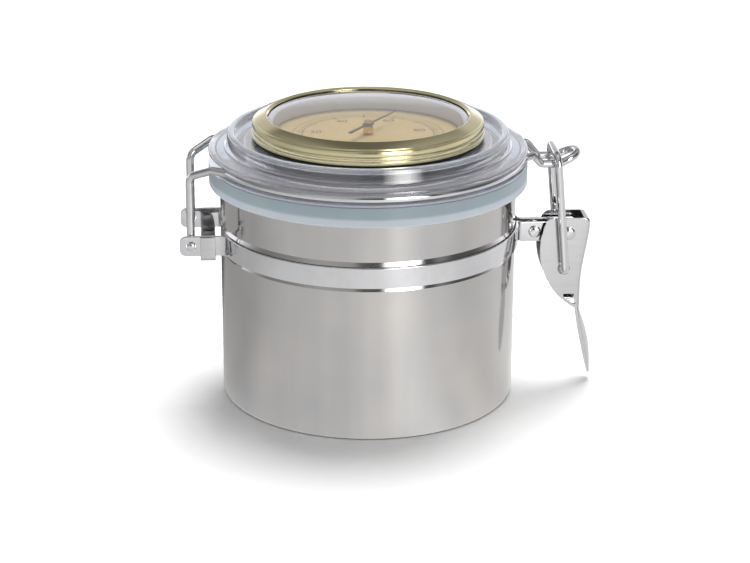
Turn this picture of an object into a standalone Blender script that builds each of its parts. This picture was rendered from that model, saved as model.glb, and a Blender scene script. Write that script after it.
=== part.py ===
"""Straight sided metal canister with a clear lid, held shut by a wire ring and an over-centre clasp.

A round hygrometer with a brass bezel sits in the lid. Metres, +Z up. The origin is the centre of
the flat base, +X points at the clasp and -X at the hinge. Each piece is an object of its own, at
rest with the lid closed. Pieces that touch are kept one named clearance apart.
"""

import math

import bmesh
import bpy
from mathutils import Matrix, Vector

# Clearances
GAP = 0.0003  # between two pieces that touch
RUN = 0.0003  # round a pin or wire that turns in a hole
FACETS = 48  # flats round every large turned piece
BEND_STEP = math.radians(15)  # turn per straight run in a wire's bends
CUT_PAST = 0.0020  # how far a cutter runs past the face that it cuts

# Cup
CUP_R = 0.0500
CUP_WALL = 0.0008
CUP_CORNER = 0.0035
CUP_H = 0.0771
BEAD_OUT = 0.0020  # how far the rolled rim stands out from the wall
BEAD_H = 0.0016
BEAD_EDGE = 0.0005

# Strap round the cup, in two halves with lugs at both ends
STRAP_DROP = 0.0167  # from the rim of the cup down to the strap
STRAP_H = 0.0070
STRAP_T = 0.0008
HINGE_BEND = 0.0035  # centre line radius where the strap turns out into a hinge lug
CLASP_BEND = 0.0020
HINGE_LUG_Y = 0.0152  # middle of the plate
CLASP_LUG_Y = 0.0023
LUG_PAST_PIN = 0.0038  # plate beyond the centre of its pin
LUG_CORNER = 0.0022
CLASP_DROP = 0.0015  # the clasp lugs are set this far below the strap

# Hinge
HINGE_OUT = 0.0100  # from the wall of the cup to the hinge pins
CLIP_W = 0.0050
CLIP_T = 0.0008
CLIP_AIR = 0.0008  # between the clip and the strap, and under the lugs
CLIP_BEND = 0.0012
CLIP_SHORT = 0.0004  # plates of the clip below the top of the lugs

# Wire of the lid ring and of the clamp bail
WIRE_R = 0.00135
WIRE_BEND = 0.0020  # tight bends at the wire ends
LEG_BEND = 0.0035
RING_BEND = 0.0050
PIN_PROUD = 0.0012  # wire end beyond the hinge lug
HINGE_EXIT = math.radians(25)  # where the ring leaves the groove, from -X
CLASP_EXIT = math.radians(12)  # the same at the clasp, from +X
LEG_AIR = 0.00045  # between a leg and the lug beside it
RIM_AIR = 0.0005  # between the wire and the rim it passes
HINGE_RUN = 0.0063  # level run outwards before the wire drops to the leg
CLASP_RUN = math.radians(7.7)  # where the wire has passed the rim at the clasp
LEG_DROP = 0.0036  # top of a leg below the ring
NOSE_Y = 0.0050
NOSE_DROP = 0.0038  # nose below the ring
NOSE_OUT = 0.0045  # from the edge of the lid to the nose
NOSE_RISE_IN = 0.0039  # the nose turns up this far inside the lever's pivot
NOSE_TIP_OUT = 0.0025  # tip of the nose beyond the pivot
NOSE_TIP_UP = 0.0030
NOSE_BEND = 0.0044

# Lid and gasket
GASKET_H = 0.0038
SEAT_LAP = 0.0040  # how far the gasket reaches inside the wall of the cup
SKIRT_H = 0.0026
SKIRT_T = 0.0010
SKIRT_AIR = 0.0007  # between the skirt and the rolled rim
LIP_H = 0.00085  # lip under the wire groove
UPPER_LIP_H = 0.00125
LIP_ROUND = 0.0009
RIM_FLAT = 0.0057  # from the edge of the lid in to the foot of the ridge
RIDGE_DRAFT = 0.0009  # lean of the ridge's outer wall
RIDGE_W = 0.0022
RIDGE_RISE = 0.0051  # ridge above the rim of the lid
RIDGE_ROUND = 0.0008
WELL_RISE = 0.0025  # flat round the hygrometer above the rim of the lid
PLUG_H = 0.0056  # centring skirt below the seat
PLUG_T = 0.0028
SLEEVE_T = 0.0024
SLEEVE_H = 0.0040
LID_FLOOR_T = 0.0032

# Hygrometer
CASE_R = 0.0345
CASE_T = 0.0008
CASE_DEPTH = 0.0174  # below the flat of the lid
CASE_UP = 0.0036  # above the flat of the lid
LEDGE_IN = 0.0019
LEDGE_H = 0.0008
SEAL_IN = 0.0006  # edge of the seal inside the edge of the bezel
SEAL_T = 0.0005
BEZEL_OVER = 0.0047  # bezel beyond the case
BEZEL_LIP_T = 0.0006  # lip over the rim of the window
BEZEL_LIP_IN = 0.0007  # lip inside the outer face of the case
BEZEL_SHOULDER = 0.0022  # below the top of the bezel
BEZEL_BEAD_IN = 0.0010
BEZEL_ROUND = 0.0008
DIAL_T = 0.0004
RING_T = 0.0018
RING_H = 0.0053
GLASS_T = 0.0010
GLASS_RIM = 0.0012  # flat rim of the window
GLASS_DOME = 0.0022
VENT_R = 0.0022
VENT_AT_R = 0.0210
VENTS = 8
ARBOR_R = 0.0008
BOSS_R = 0.0016
BOSS_H = 0.0026
CAP_R = 0.0014
CAP_H = 0.0010
POINTER_T = 0.0004
POINTER_L = 0.0190
POINTER_TAIL = 0.0125
POINTER_TURN = math.radians(57)  # rest direction, from +X
POINTER_W = 0.0040  # at the hub
BRIDGE_SPAN = 0.0290
BRIDGE_FOOT = 0.0035
BRIDGE_BEND = 0.0010
BRIDGE_W = 0.0060
BRIDGE_T = 0.0008
BRIDGE_DROP = 0.0100
COIL_TURNS = 4
COIL_IN_R = 0.0022
COIL_T = 0.0003
COIL_H = 0.0030
COIL_UP = 0.0030  # above the middle of the bridge
COIL_PITCH = 0.0011

# Clasp
RIVET_OUT = 0.0069  # from the wall of the cup
RIVET_R = 0.0014
RIVET_HEAD_R = 0.0021
HEAD_H = 0.0008
SPACER_T = 0.0008
PIVOT_OUT = 0.0114  # from the rivet
PIVOT_R = 0.0015
PIVOT_HEAD_R = 0.0022
PIVOT_COLLAR_R = 0.0024
CHEEK_OUT_Y = 0.0052
SHEET_T = 0.0008
BAIL_HOLE_X = -0.0014  # from the pivot
BAIL_HOLE_Z = -0.0127
BAIL_Y = 0.0093
BAIL_END_Y = 0.0038
BAR_IN = 0.0051  # cross bar inside the pivot
BAR_OVER_WIRE = 0.0007  # daylight between the clamp's cross bar and the ring wire
LEVER_UP = 0.0052  # top of the cheeks above the pivot
LEVER_DOWN = 0.0271
LEVER_NEAR_BEND = 0.0018  # upper corners of the cheeks
LEVER_FAR_BEND = 0.0014
CHEEK_ARC_R = 0.0248  # inner edge of the cheeks, one arc
CHEEK_ARC_X = 0.0152
CHEEK_ARC_Z = -0.0057
WEB_X = 0.0047  # back of the lever at its foot, from the pivot
WEB_LEAN = 0.0028
WEB_FOOT = 0.0077  # straight part of the back above the foot
WEB_BEND = 0.0012
RELIEF_X = -0.0012  # opening above the foot of the cheeks
RELIEF_W = 0.0042
RELIEF_UP = 0.0014
RELIEF_H = 0.0037
TONGUE_L = 0.0262
TONGUE_LEAN = 0.0049
TONGUE_W = 0.0105
TONGUE_DISH = 0.0021
TONGUE_IN = 0.0020  # overlap with the back of the lever

# Levels and radii that follow from the sizes above
STRAP_TOP = CUP_H - STRAP_DROP
STRAP_LOW = STRAP_TOP - STRAP_H
STRAP_R = CUP_R + GAP + STRAP_T / 2
PIN_Z = STRAP_LOW + STRAP_H / 2
CLASP_Z = PIN_Z - CLASP_DROP
HINGE_X = -CUP_R - HINGE_OUT
CLIP_X = -STRAP_R - STRAP_T / 2 - CLIP_AIR - CLIP_W / 2
RIVET_X = CUP_R + RIVET_OUT
PIVOT_X = RIVET_X + PIVOT_OUT
LID_R = CUP_R + BEAD_OUT + SKIRT_AIR + SKIRT_T
SEAT_IN_R = CUP_R - CUP_WALL - SEAT_LAP
STEP_FOOT_R = LID_R - RIM_FLAT
STEP_TOP_R = STEP_FOOT_R - RIDGE_DRAFT
GASKET_LOW = CUP_H + GAP
SEAT_Z = GASKET_LOW + GASKET_H + GAP
GROOVE_LOW = SEAT_Z + LIP_H
RING_Z = GROOVE_LOW + GAP + WIRE_R
GROOVE_HIGH = RING_Z + WIRE_R + GAP
RIM_Z = GROOVE_HIGH + UPPER_LIP_H
RING_R = LID_R - WIRE_R
NOSE_Z = RING_Z - NOSE_DROP
BAR_X = PIVOT_X - BAR_IN
BAR_Z = NOSE_Z + 2 * WIRE_R + BAR_OVER_WIRE
WELL_Z = RIM_Z + WELL_RISE
BORE_R = CASE_R + GAP
CASE_TOP = WELL_Z + CASE_UP
CASE_LOW = WELL_Z - CASE_DEPTH
CASE_IN_R = CASE_R - CASE_T
DIAL_LOW = WELL_Z - GAP
DIAL_TOP = DIAL_LOW + DIAL_T
GLASS_LOW = DIAL_TOP + GAP + RING_H + GAP
HUB_LOW = DIAL_TOP + GAP
BEZEL_LOW = WELL_Z + GAP + SEAL_T + GAP
LIP_LOW = GLASS_LOW + GLASS_T + GAP
BEZEL_TOP = LIP_LOW + BEZEL_LIP_T
BEZEL_R = CASE_R + BEZEL_OVER
BEZEL_LIP_R = CASE_R - BEZEL_LIP_IN
BEZEL_BEAD_R = BEZEL_R - BEZEL_BEAD_IN
SEAL_R = BEZEL_R - SEAL_IN
PIVOT = Vector((PIVOT_X, 0, CLASP_Z))
BAIL_HOLE = PIVOT + Vector((BAIL_HOLE_X, 0, BAIL_HOLE_Z))
HINGE = Vector((HINGE_X, 0, PIN_Z))


def clear_scene():
    for obj in list(bpy.data.objects):
        bpy.data.objects.remove(obj, do_unlink=True)


def new_collection(name):
    made = bpy.data.collections.new(name)
    bpy.context.scene.collection.children.link(made)
    return made


def metal(name, colour, roughness):
    return surface(name, colour, roughness, 1.0)


def surface(name, colour, roughness, metallic=0.0, see_through=0.0):
    made = bpy.data.materials.new(name)
    made.use_nodes = True
    shader = made.node_tree.nodes["Principled BSDF"]
    shader.inputs["Base Color"].default_value = (*colour, 1.0)
    shader.inputs["Roughness"].default_value = roughness
    shader.inputs["Metallic"].default_value = metallic
    shader.inputs["Transmission Weight"].default_value = see_through
    made.diffuse_color = (*colour, 1.0)
    return made


def place(obj, origin, parent):
    """Puts an object whose mesh is measured from origin, under a parent that is not turned."""
    if parent is not None:
        obj.parent = parent
        obj.location = Vector(origin) - parent_origin(parent)
    else:
        obj.location = origin


def parent_origin(obj):
    at = Vector(obj.location)
    while obj.parent is not None:
        obj = obj.parent
        at += Vector(obj.location)
    return at


def axis_empty(name, origin, parent=None):
    made = bpy.data.objects.new(name, None)
    made.empty_display_size = 0.005
    CANISTER.objects.link(made)
    place(made, origin, parent)
    return made


def keep(name, mesh, look, origin=(0, 0, 0), parent=None):
    """An object in the canister's collection with its mesh measured from origin."""
    mesh.transform(Matrix.Translation(-Vector(origin)))
    mesh.materials.clear()
    mesh.materials.append(look)
    made = bpy.data.objects.new(name, mesh)
    CANISTER.objects.link(made)
    place(made, origin, parent)
    return made


def cutter(name, mesh):
    made = bpy.data.objects.new(name, mesh)
    made.hide_render = True
    made.display_type = "WIRE"
    CUTTERS.objects.link(made)
    return made


def cut(obj, tool, operation="DIFFERENCE"):
    made = obj.modifiers.new(tool.name, "BOOLEAN")
    made.operation = operation
    made.solver = "EXACT"
    made.object = tool


def turned(name, profile, look, origin=(0, 0, 0), parent=None, closed=False, facets=FACETS):
    """A body of revolution round Z. The profile holds (radius, height) and runs down the outside."""
    mesh = bpy.data.meshes.new(name)
    ends = [(i, i + 1) for i in range(len(profile) - 1)]
    if closed:
        ends.append((len(profile) - 1, 0))
    mesh.from_pydata([(r, 0, z) for r, z in profile], ends, [])
    obj = keep(name, mesh, look, origin, parent)
    screw = obj.modifiers.new("turn", "SCREW")
    screw.axis = "Z"
    screw.angle = 2 * math.pi
    screw.steps = facets
    screw.render_steps = facets
    screw.use_merge_vertices = True
    screw.merge_threshold = 1e-6
    screw.use_smooth_shade = True
    return obj


def quarter(centre_r, centre_z, radius, start, turn=-90, runs=4):
    """Points of a rounded corner in a profile, from a start angle in degrees."""
    made = []
    for i in range(runs + 1):
        a = math.radians(start + turn * i / runs)
        made.append((centre_r + radius * math.cos(a), centre_z + radius * math.sin(a)))
    return made


def rounded_path(corners):
    """Points along straight runs joined by arcs. Each corner is (point, bend radius)."""
    made = [Vector(corners[0][0])]
    for i in range(1, len(corners) - 1):
        here = Vector(corners[i][0])
        back = (here - Vector(corners[i - 1][0])).normalized()
        ahead = (Vector(corners[i + 1][0]) - here).normalized()
        turn = back.angle(ahead)
        radius = corners[i][1]
        if radius == 0 or turn < 1e-4:
            made.append(here)
            continue
        start = here - back * radius * math.tan(turn / 2)
        centre = here + (ahead - back).normalized() * radius / math.cos(turn / 2)
        out = (start - centre).normalized()
        runs = max(2, math.ceil(turn / BEND_STEP - 1e-6))
        for k in range(runs + 1):
            a = turn * k / runs
            made.append(centre + radius * (math.cos(a) * out + math.sin(a) * back))
    made.append(Vector(corners[-1][0]))
    return made


def wire(name, points, radius, look, origin=(0, 0, 0), parent=None):
    """A round wire with closed ends along the points."""
    data = bpy.data.curves.new(name, "CURVE")
    data.dimensions = "3D"
    data.bevel_depth = radius
    data.bevel_resolution = 2
    data.use_fill_caps = True
    spline = data.splines.new("POLY")
    spline.points.add(len(points) - 1)
    for spot, p in zip(spline.points, points):
        spot.co = (*(Vector(p) - Vector(origin)), 1.0)
    data.materials.append(look)
    made = bpy.data.objects.new(name, data)
    CANISTER.objects.link(made)
    place(made, origin, parent)
    return made


def flat_mesh(name, outline, low, high):
    """A flat sheet with this outline in XY, between two heights."""
    data = bpy.data.curves.new(name, "CURVE")
    data.dimensions = "2D"
    data.fill_mode = "BOTH"
    data.extrude = (high - low) / 2
    spline = data.splines.new("POLY")
    spline.points.add(len(outline) - 1)
    for spot, p in zip(spline.points, outline):
        spot.co = (p[0], p[1], 0.0, 1.0)
    spline.use_cyclic_u = True
    shape = bpy.data.objects.new(name, data)
    CUTTERS.objects.link(shape)
    bpy.context.view_layer.update()
    graph = bpy.context.evaluated_depsgraph_get()
    mesh = bpy.data.meshes.new_from_object(shape.evaluated_get(graph))
    bpy.data.objects.remove(shape, do_unlink=True)
    work = bmesh.new()
    work.from_mesh(mesh)
    bmesh.ops.remove_doubles(work, verts=work.verts, dist=1e-7)
    bmesh.ops.recalc_face_normals(work, faces=work.faces)
    work.to_mesh(mesh)
    work.free()
    mesh.transform(Matrix.Translation((0, 0, (high + low) / 2)))
    return mesh


UPRIGHT = Matrix.Rotation(math.radians(90), 4, "X")  # turns a sheet in XY to stand in XZ


def upright_mesh(name, outline, near, far):
    """A sheet with this outline in XZ, between two values of Y."""
    mesh = flat_mesh(name, outline, -far, -near)
    mesh.transform(UPRIGHT)
    return mesh


def rod_mesh(name, radius, length, middle, along="Z", facets=24):
    """A plain round rod, used for pins and for the holes that take them."""
    mesh = bpy.data.meshes.new(name)
    work = bmesh.new()
    bmesh.ops.create_cone(
        work, cap_ends=True, segments=facets, radius1=radius, radius2=radius, depth=length
    )
    work.to_mesh(mesh)
    work.free()
    if along == "Y":
        mesh.transform(UPRIGHT)
    mesh.transform(Matrix.Translation(Vector(middle)))
    return mesh


def thick_line(points, thickness):
    """The outline of a strip of even thickness whose middle follows the points."""
    left, right = [], []
    for i, p in enumerate(points):
        before = points[max(i - 1, 0)]
        after = points[min(i + 1, len(points) - 1)]
        into = (Vector(p) - Vector(before)).normalized()
        out = (Vector(after) - Vector(p)).normalized()
        at_end = i in (0, len(points) - 1)
        run = out + into if not at_end else (out if i == 0 else into)
        run = run.normalized()
        lean = 1 if at_end else math.sqrt((1 + into.dot(out)) / 2)
        side = Vector((-run.y, run.x, 0)) * (thickness / 2 / lean)
        left.append(Vector(p) + side)
        right.append(Vector(p) - side)
    return [(q.x, q.y) for q in left + right[::-1]]


clear_scene()
CANISTER = new_collection("hygrometer_canister")
CUTTERS = new_collection("cutters")
STEEL = metal("brushed_steel", (0.62, 0.60, 0.58), 0.16)
CHROME = metal("bright_plated_steel", (0.78, 0.78, 0.79), 0.10)
BRASS = metal("pale_polished_brass", (0.72, 0.68, 0.42), 0.14)
GOLD = metal("yellow_brass", (0.75, 0.55, 0.22), 0.25)
CLEAR = surface("clear_plastic", (0.83, 0.83, 0.88), 0.06, 0.0, 0.9)
GLASS = surface("window_plastic", (0.90, 0.90, 0.93), 0.04, 0.0, 0.95)
SILICONE = surface("pale_blue_silicone", (0.62, 0.71, 0.78), 0.42, 0.0, 0.35)
RUBBER = surface("black_rubber", (0.02, 0.02, 0.02), 0.6)
DIAL = surface("beige_dial", (0.58, 0.46, 0.29), 0.55)
GREY = surface("grey_inner_ring", (0.55, 0.54, 0.57), 0.35)
BLACK = surface("black_case", (0.04, 0.04, 0.045), 0.5)
NEEDLE = metal("dull_needle_steel", (0.45, 0.43, 0.46), 0.35)
COPPER = metal("copper_strip", (0.70, 0.40, 0.26), 0.35)

# Cup: one wall from the floor up to a rolled rim
inner_corner = CUP_CORNER - CUP_WALL
cup = [(0, CUP_WALL)]
cup += quarter(CUP_R - CUP_CORNER, CUP_CORNER, inner_corner, -90, 90)
cup += [(CUP_R - CUP_WALL, CUP_H - BEAD_EDGE), (CUP_R - CUP_WALL + BEAD_EDGE, CUP_H)]
cup += quarter(CUP_R + BEAD_OUT - BEAD_EDGE, CUP_H - BEAD_EDGE, BEAD_EDGE, 90, -90, 2)
cup += quarter(CUP_R + BEAD_OUT - BEAD_EDGE, CUP_H - BEAD_H + BEAD_EDGE, BEAD_EDGE, 0, -90, 2)
cup += [(CUP_R, CUP_H - BEAD_H)]
cup += quarter(CUP_R - CUP_CORNER, CUP_CORNER, CUP_CORNER, 0, -90)
cup += [(0, 0)]
turned("canister_body", cup, STEEL)


def half_strap(name, side):
    """Half of the strap, with a plate at each end. side is -1 in front and 1 behind."""
    hinge_at = math.asin(HINGE_LUG_Y / STRAP_R)
    clasp_at = math.asin(CLASP_LUG_Y / STRAP_R)
    step = 2 * math.pi / FACETS
    angles = [clasp_at]
    k = math.ceil((clasp_at + 1.15 * CLASP_BEND / STRAP_R) / step)
    while k * step < math.pi - hinge_at - 1.15 * HINGE_BEND / STRAP_R:
        angles.append(k * step)
        k += 1
    angles.append(math.pi - hinge_at)
    round_cup = [(STRAP_R * math.cos(a), STRAP_R * math.sin(a), 0) for a in angles]
    corners = [((PIVOT_X + LUG_PAST_PIN, CLASP_LUG_Y, 0), 0)]
    corners.append((round_cup[0], CLASP_BEND))
    corners += [(p, 0) for p in round_cup[1:-1]]
    corners.append((round_cup[-1], HINGE_BEND))
    corners.append(((HINGE_X - LUG_PAST_PIN, HINGE_LUG_Y, 0), 0))
    path = rounded_path(corners)
    outline = [(x, side * y) for x, y in thick_line(path, STRAP_T)]
    mesh = flat_mesh(name, outline, STRAP_LOW, STRAP_TOP)
    for v in mesh.vertices:
        t = min(1, max(0, (v.co.x - STRAP_R + CLASP_BEND) / (2 * CLASP_BEND)))
        v.co.z -= CLASP_DROP * t * t * (3 - 2 * t)
    strap = keep(name, mesh, CHROME)
    wide = HINGE_LUG_Y + 2 * STRAP_T
    for label, pin_x, pin_z, way in (("hinge", HINGE_X, PIN_Z, -1), ("clasp", PIVOT_X, CLASP_Z, 1)):
        end = LUG_PAST_PIN
        high = STRAP_H / 2
        shape = [(end - LUG_CORNER, high + CUT_PAST), (end + CUT_PAST, high + CUT_PAST)]
        shape += [(end + CUT_PAST, -high - CUT_PAST), (end - LUG_CORNER, -high - CUT_PAST)]
        shape += quarter(end - LUG_CORNER, -high + LUG_CORNER, LUG_CORNER, -90, 90)
        shape += quarter(end - LUG_CORNER, high - LUG_CORNER, LUG_CORNER, 0, 90)
        trim = [(pin_x + way * x, pin_z + z) for x, z in shape]
        near, far = sorted((side * GAP, side * wide))
        tool = f"{name}_{label}_end"
        cut(strap, cutter(tool, upright_mesh(tool, trim, near, far)))
    holes = (
        ("hinge_hole", HINGE_X, PIN_Z, WIRE_R + RUN, HINGE_LUG_Y),
        ("pivot_hole", PIVOT_X, CLASP_Z, PIVOT_R + RUN, CLASP_LUG_Y),
        ("rivet_hole", RIVET_X, CLASP_Z, RIVET_R + RUN, CLASP_LUG_Y),
    )
    for label, x, z, radius, y in holes:
        rod = rod_mesh(f"{name}_{label}", radius, 3 * STRAP_T, (x, side * y, z), "Y")
        cut(strap, cutter(f"{name}_{label}", rod))
    return strap


half_strap("front_half_band", -1)
half_strap("rear_half_band", 1)

# Hinge clip: a channel that holds the two hinge lugs together
clip_in = HINGE_LUG_Y + STRAP_T / 2 + GAP
clip_base = STRAP_LOW - CLIP_AIR - CLIP_T
half_clip = [((clip_in + CLIP_T / 2, 0, STRAP_TOP - CLIP_SHORT), 0)]
half_clip.append(((clip_in + CLIP_T / 2, 0, clip_base + CLIP_T / 2), CLIP_BEND))
clip_path = half_clip + [((-p[0], 0, p[2]), r) for p, r in half_clip[::-1]]
flat_path = rounded_path([((p[0], p[2], 0), r) for p, r in clip_path])
clip_mesh = flat_mesh("hinge_clip", thick_line(flat_path, CLIP_T), -CLIP_W / 2, CLIP_W / 2)
clip_mesh.transform(UPRIGHT)
clip_mesh.transform(Matrix.Rotation(math.radians(90), 4, "Z"))
clip_mesh.transform(Matrix.Translation((CLIP_X, 0, 0)))
keep("hinge_clip", clip_mesh, CHROME)

# Clasp rivet and the tube that keeps the two lugs apart
lug_out = CLASP_LUG_Y + STRAP_T / 2
lug_in = CLASP_LUG_Y - STRAP_T / 2


def headed_pin(name, half_length, radius, head_radius, x, collar=None):
    """A pin along Y with a domed head at each end. A collar is (inner, outer, radius)."""
    side = [(0, half_length + HEAD_H), (0.55 * head_radius, half_length + 0.85 * HEAD_H)]
    side += [(0.88 * head_radius, half_length + 0.5 * HEAD_H), (head_radius, half_length)]
    side.append((radius, half_length))
    if collar is not None:
        inner, outer, wide = collar
        side += [(radius, outer), (wide, outer), (wide, inner), (radius, inner)]
    pin = turned(name, side + [(r, -z) for r, z in side[::-1]], CHROME, facets=20)
    pin.rotation_euler = (math.radians(90), 0, 0)
    pin.location = (x, 0, CLASP_Z)


headed_pin("clasp_rivet", lug_out + GAP, RIVET_R, RIVET_HEAD_R, RIVET_X)
spacer_half = lug_in - GAP
spacer = [(RIVET_R + GAP, spacer_half), (RIVET_R + GAP + SPACER_T, spacer_half)]
spacer += [(RIVET_R + GAP + SPACER_T, -spacer_half), (RIVET_R + GAP, -spacer_half)]
tube = turned("clasp_spacer", spacer, CHROME, closed=True, facets=20)
tube.rotation_euler = (math.radians(90), 0, 0)
tube.location = (RIVET_X, 0, CLASP_Z)

# Lever pin: shoulders hold the two cheeks and the two lugs apart
cheek_in = CHEEK_OUT_Y - SHEET_T
shoulder = (lug_out + GAP, cheek_in - GAP, PIVOT_COLLAR_R)
headed_pin("lever_pin", CHEEK_OUT_Y + GAP, PIVOT_R, PIVOT_HEAD_R, PIVOT_X, shoulder)


def web_x(up):
    """How far the back of the lever lies from the pivot in X, at a height above the pivot."""
    low = WEB_FOOT - LEVER_DOWN
    t = min(1, max(0, (up - low) / (LEVER_UP - low)))
    return WEB_X + WEB_LEAN * t * t * (3 - 2 * t)


def cheek_arc(up):
    return CHEEK_ARC_X - math.sqrt(CHEEK_ARC_R**2 - (up - CHEEK_ARC_Z) ** 2)


# Lever: a channel with its back outwards, drawn round its pivot
arc_high = LEVER_UP - 1.2 * LEVER_NEAR_BEND
web_high = LEVER_UP - 2 * LEVER_FAR_BEND
arc_rows = [-LEVER_DOWN + i * (LEVER_DOWN + arc_high) / 12 for i in range(13)]
web_rows = [web_high - i * (LEVER_DOWN + web_high) / 8 for i in range(9)]
cheek = [((cheek_arc(up), up, 0), 0) for up in arc_rows]
cheek.append(((cheek_arc(LEVER_UP), LEVER_UP, 0), LEVER_NEAR_BEND))
cheek.append(((web_x(LEVER_UP), LEVER_UP, 0), LEVER_FAR_BEND))
cheek += [((web_x(up), up, 0), 0) for up in web_rows]
cheek = [(PIVOT_X + p.x, CLASP_Z + p.y) for p in rounded_path(cheek)]
lever_mesh = upright_mesh("lever", cheek, -CHEEK_OUT_Y, CHEEK_OUT_Y)
lever = keep("lever", lever_mesh, STEEL, PIVOT)
weights = lever_mesh.attributes.new("bevel_weight_edge", "FLOAT", "EDGE")
for edge in lever_mesh.edges:
    a, b = (lever_mesh.vertices[i].co for i in edge.vertices)
    on_side = abs(a.y - b.y) < 1e-6
    on_back = min(a.x - web_x(a.z), b.x - web_x(b.z)) > -1e-5
    if on_side and on_back:
        weights.data[edge.index].value = 1.0
bend = lever.modifiers.new("bend", "BEVEL")
bend.limit_method = "WEIGHT"
bend.width = WEB_BEND
bend.segments = 3

hollow = [(PIVOT_X + web_x(up) - SHEET_T, CLASP_Z + up) for up in web_rows]
hollow.append((hollow[-1][0], CLASP_Z - LEVER_DOWN - CUT_PAST))
hollow.append((PIVOT_X - CHEEK_ARC_R, hollow[-1][1]))
hollow.append((PIVOT_X - CHEEK_ARC_R, CLASP_Z + LEVER_UP + CUT_PAST))
hollow.append((PIVOT_X + web_x(LEVER_UP) - SHEET_T, CLASP_Z + LEVER_UP + CUT_PAST))
cut(lever, cutter("lever_hollow", upright_mesh("lever_hollow", hollow, -cheek_in, cheek_in)))

relief_low = CLASP_Z - LEVER_DOWN + RELIEF_UP
relief = [(0, 1), (1, 1), (1.1, 0), (0.78, 0), (-0.05, 0.78)]
relief = [(PIVOT_X + RELIEF_X + RELIEF_W * x, relief_low + RELIEF_H * z) for x, z in relief]
wide = CHEEK_OUT_Y + CUT_PAST
cut(lever, cutter("lever_relief", upright_mesh("lever_relief", relief, -wide, wide)))
pivot_rod = rod_mesh("lever_pivot", PIVOT_R + RUN, 2 * wide, PIVOT, "Y")
cut(lever, cutter("lever_pivot", pivot_rod))
bail_rod = rod_mesh("lever_bail_holes", WIRE_R + RUN, 2 * wide, BAIL_HOLE, "Y")
cut(lever, cutter("lever_bail_holes", bail_rod))


def tongue_mesh(name, thickness):
    """The dished finger tab: a leaf shaped sheet that runs down from the back of the lever."""
    rows, columns = 16, 8
    foot = PIVOT + Vector((WEB_X - SHEET_T / 2, 0, -LEVER_DOWN))
    sides = []
    for skin in (1, -1):
        grid = []
        for i in range(rows + 1):
            along = -TONGUE_IN + i * (TONGUE_L + TONGUE_IN) / rows
            s = along / TONGUE_L
            half = TONGUE_W / 2 * math.sqrt(1 - ((s - 0.42) / 0.60) ** 2)
            lean = TONGUE_LEAN * max(0, s) ** 1.4
            for j in range(columns + 1):
                t = 2 * j / columns - 1
                dish = TONGUE_DISH * (1 - t * t) * max(0, math.sin(math.pi * min(1, max(0, s))))
                x = foot.x + lean + dish + skin * thickness / 2
                grid.append((x, t * half, foot.z - along))
        sides.append(grid)
    across = columns + 1
    count = len(sides[0])
    faces = []
    for i in range(rows):
        for j in range(columns):
            a = i * across + j
            faces.append((a, a + across, a + across + 1, a + 1))
            faces.append((count + a, count + a + 1, count + a + across + 1, count + a + across))
    border = [j for j in range(across)]
    border += [i * across + columns for i in range(1, rows + 1)]
    border += [rows * across + j for j in range(columns - 1, -1, -1)]
    border += [i * across for i in range(rows - 1, 0, -1)]
    for a, b in zip(border, border[1:] + border[:1]):
        faces.append((a, b, count + b, count + a))
    mesh = bpy.data.meshes.new(name)
    mesh.from_pydata(sides[0] + sides[1], [], faces)
    work = bmesh.new()
    work.from_mesh(mesh)
    bmesh.ops.recalc_face_normals(work, faces=work.faces)
    work.to_mesh(mesh)
    work.free()
    return mesh


cut(lever, cutter("lever_tongue", tongue_mesh("lever_tongue", 0.9 * SHEET_T)), "UNION")

# Clamp bail: legs outside the cheeks, ends turned in through them, bar over the ring wire
bail_corners = [((BAIL_HOLE.x, -BAIL_END_Y, BAIL_HOLE.z), 0)]
bail_corners.append(((BAIL_HOLE.x, -BAIL_Y, BAIL_HOLE.z), WIRE_BEND))
bail_corners.append(((BAR_X, -BAIL_Y, BAR_Z), LEG_BEND))
bail_corners += [((p[0], -p[1], p[2]), r) for p, r in bail_corners[::-1]]
bail_axis = axis_empty("bail_axis", BAIL_HOLE, lever)
wire("clamp_bail", rounded_path(bail_corners), WIRE_R, CHROME, BAIL_HOLE, bail_axis)

# Ring wire: pins through the hinge lugs, legs, ring in the lid's groove, nose at the clasp
lid_axis = axis_empty("lid_axis", HINGE)
pin_end = HINGE_LUG_Y + STRAP_T / 2 + PIN_PROUD
leg_y = HINGE_LUG_Y - STRAP_T / 2 - LEG_AIR - WIRE_R
clear_r = LID_R + WIRE_R + RIM_AIR
nose_rise_x = PIVOT_X - NOSE_RISE_IN
leave = Vector((-RING_R * math.cos(HINGE_EXIT), -RING_R * math.sin(HINGE_EXIT), RING_Z))
leg_top = Vector((HINGE_X, -leg_y, RING_Z - LEG_DROP))
flat_run = Vector((leg_top.x - leave.x, leg_top.y - leave.y, 0)).normalized() * HINGE_RUN
enter = Vector((RING_R * math.cos(CLASP_EXIT), -RING_R * math.sin(CLASP_EXIT), RING_Z))
nose_start = Vector((LID_R + NOSE_OUT, -NOSE_Y, NOSE_Z))
past_rim = Vector((clear_r * math.cos(CLASP_RUN), -clear_r * math.sin(CLASP_RUN), RING_Z))
half_ring = [((HINGE_X, -pin_end, PIN_Z), 0), ((HINGE_X, -leg_y, PIN_Z), WIRE_BEND)]
half_ring += [(leg_top, LEG_BEND), (leave + flat_run, LEG_BEND), (leave, RING_BEND)]
around = math.pi - HINGE_EXIT - CLASP_EXIT
ring_steps = round(around / (2 * math.pi / FACETS))
for i in range(1, ring_steps):
    a = math.pi + HINGE_EXIT + around * i / ring_steps
    half_ring.append(((RING_R * math.cos(a), RING_R * math.sin(a), RING_Z), 0))
half_ring += [(enter, RING_BEND), (past_rim, WIRE_BEND), (nose_start, WIRE_BEND)]
half_ring.append(((nose_rise_x, -NOSE_Y, NOSE_Z), RING_BEND))
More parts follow.
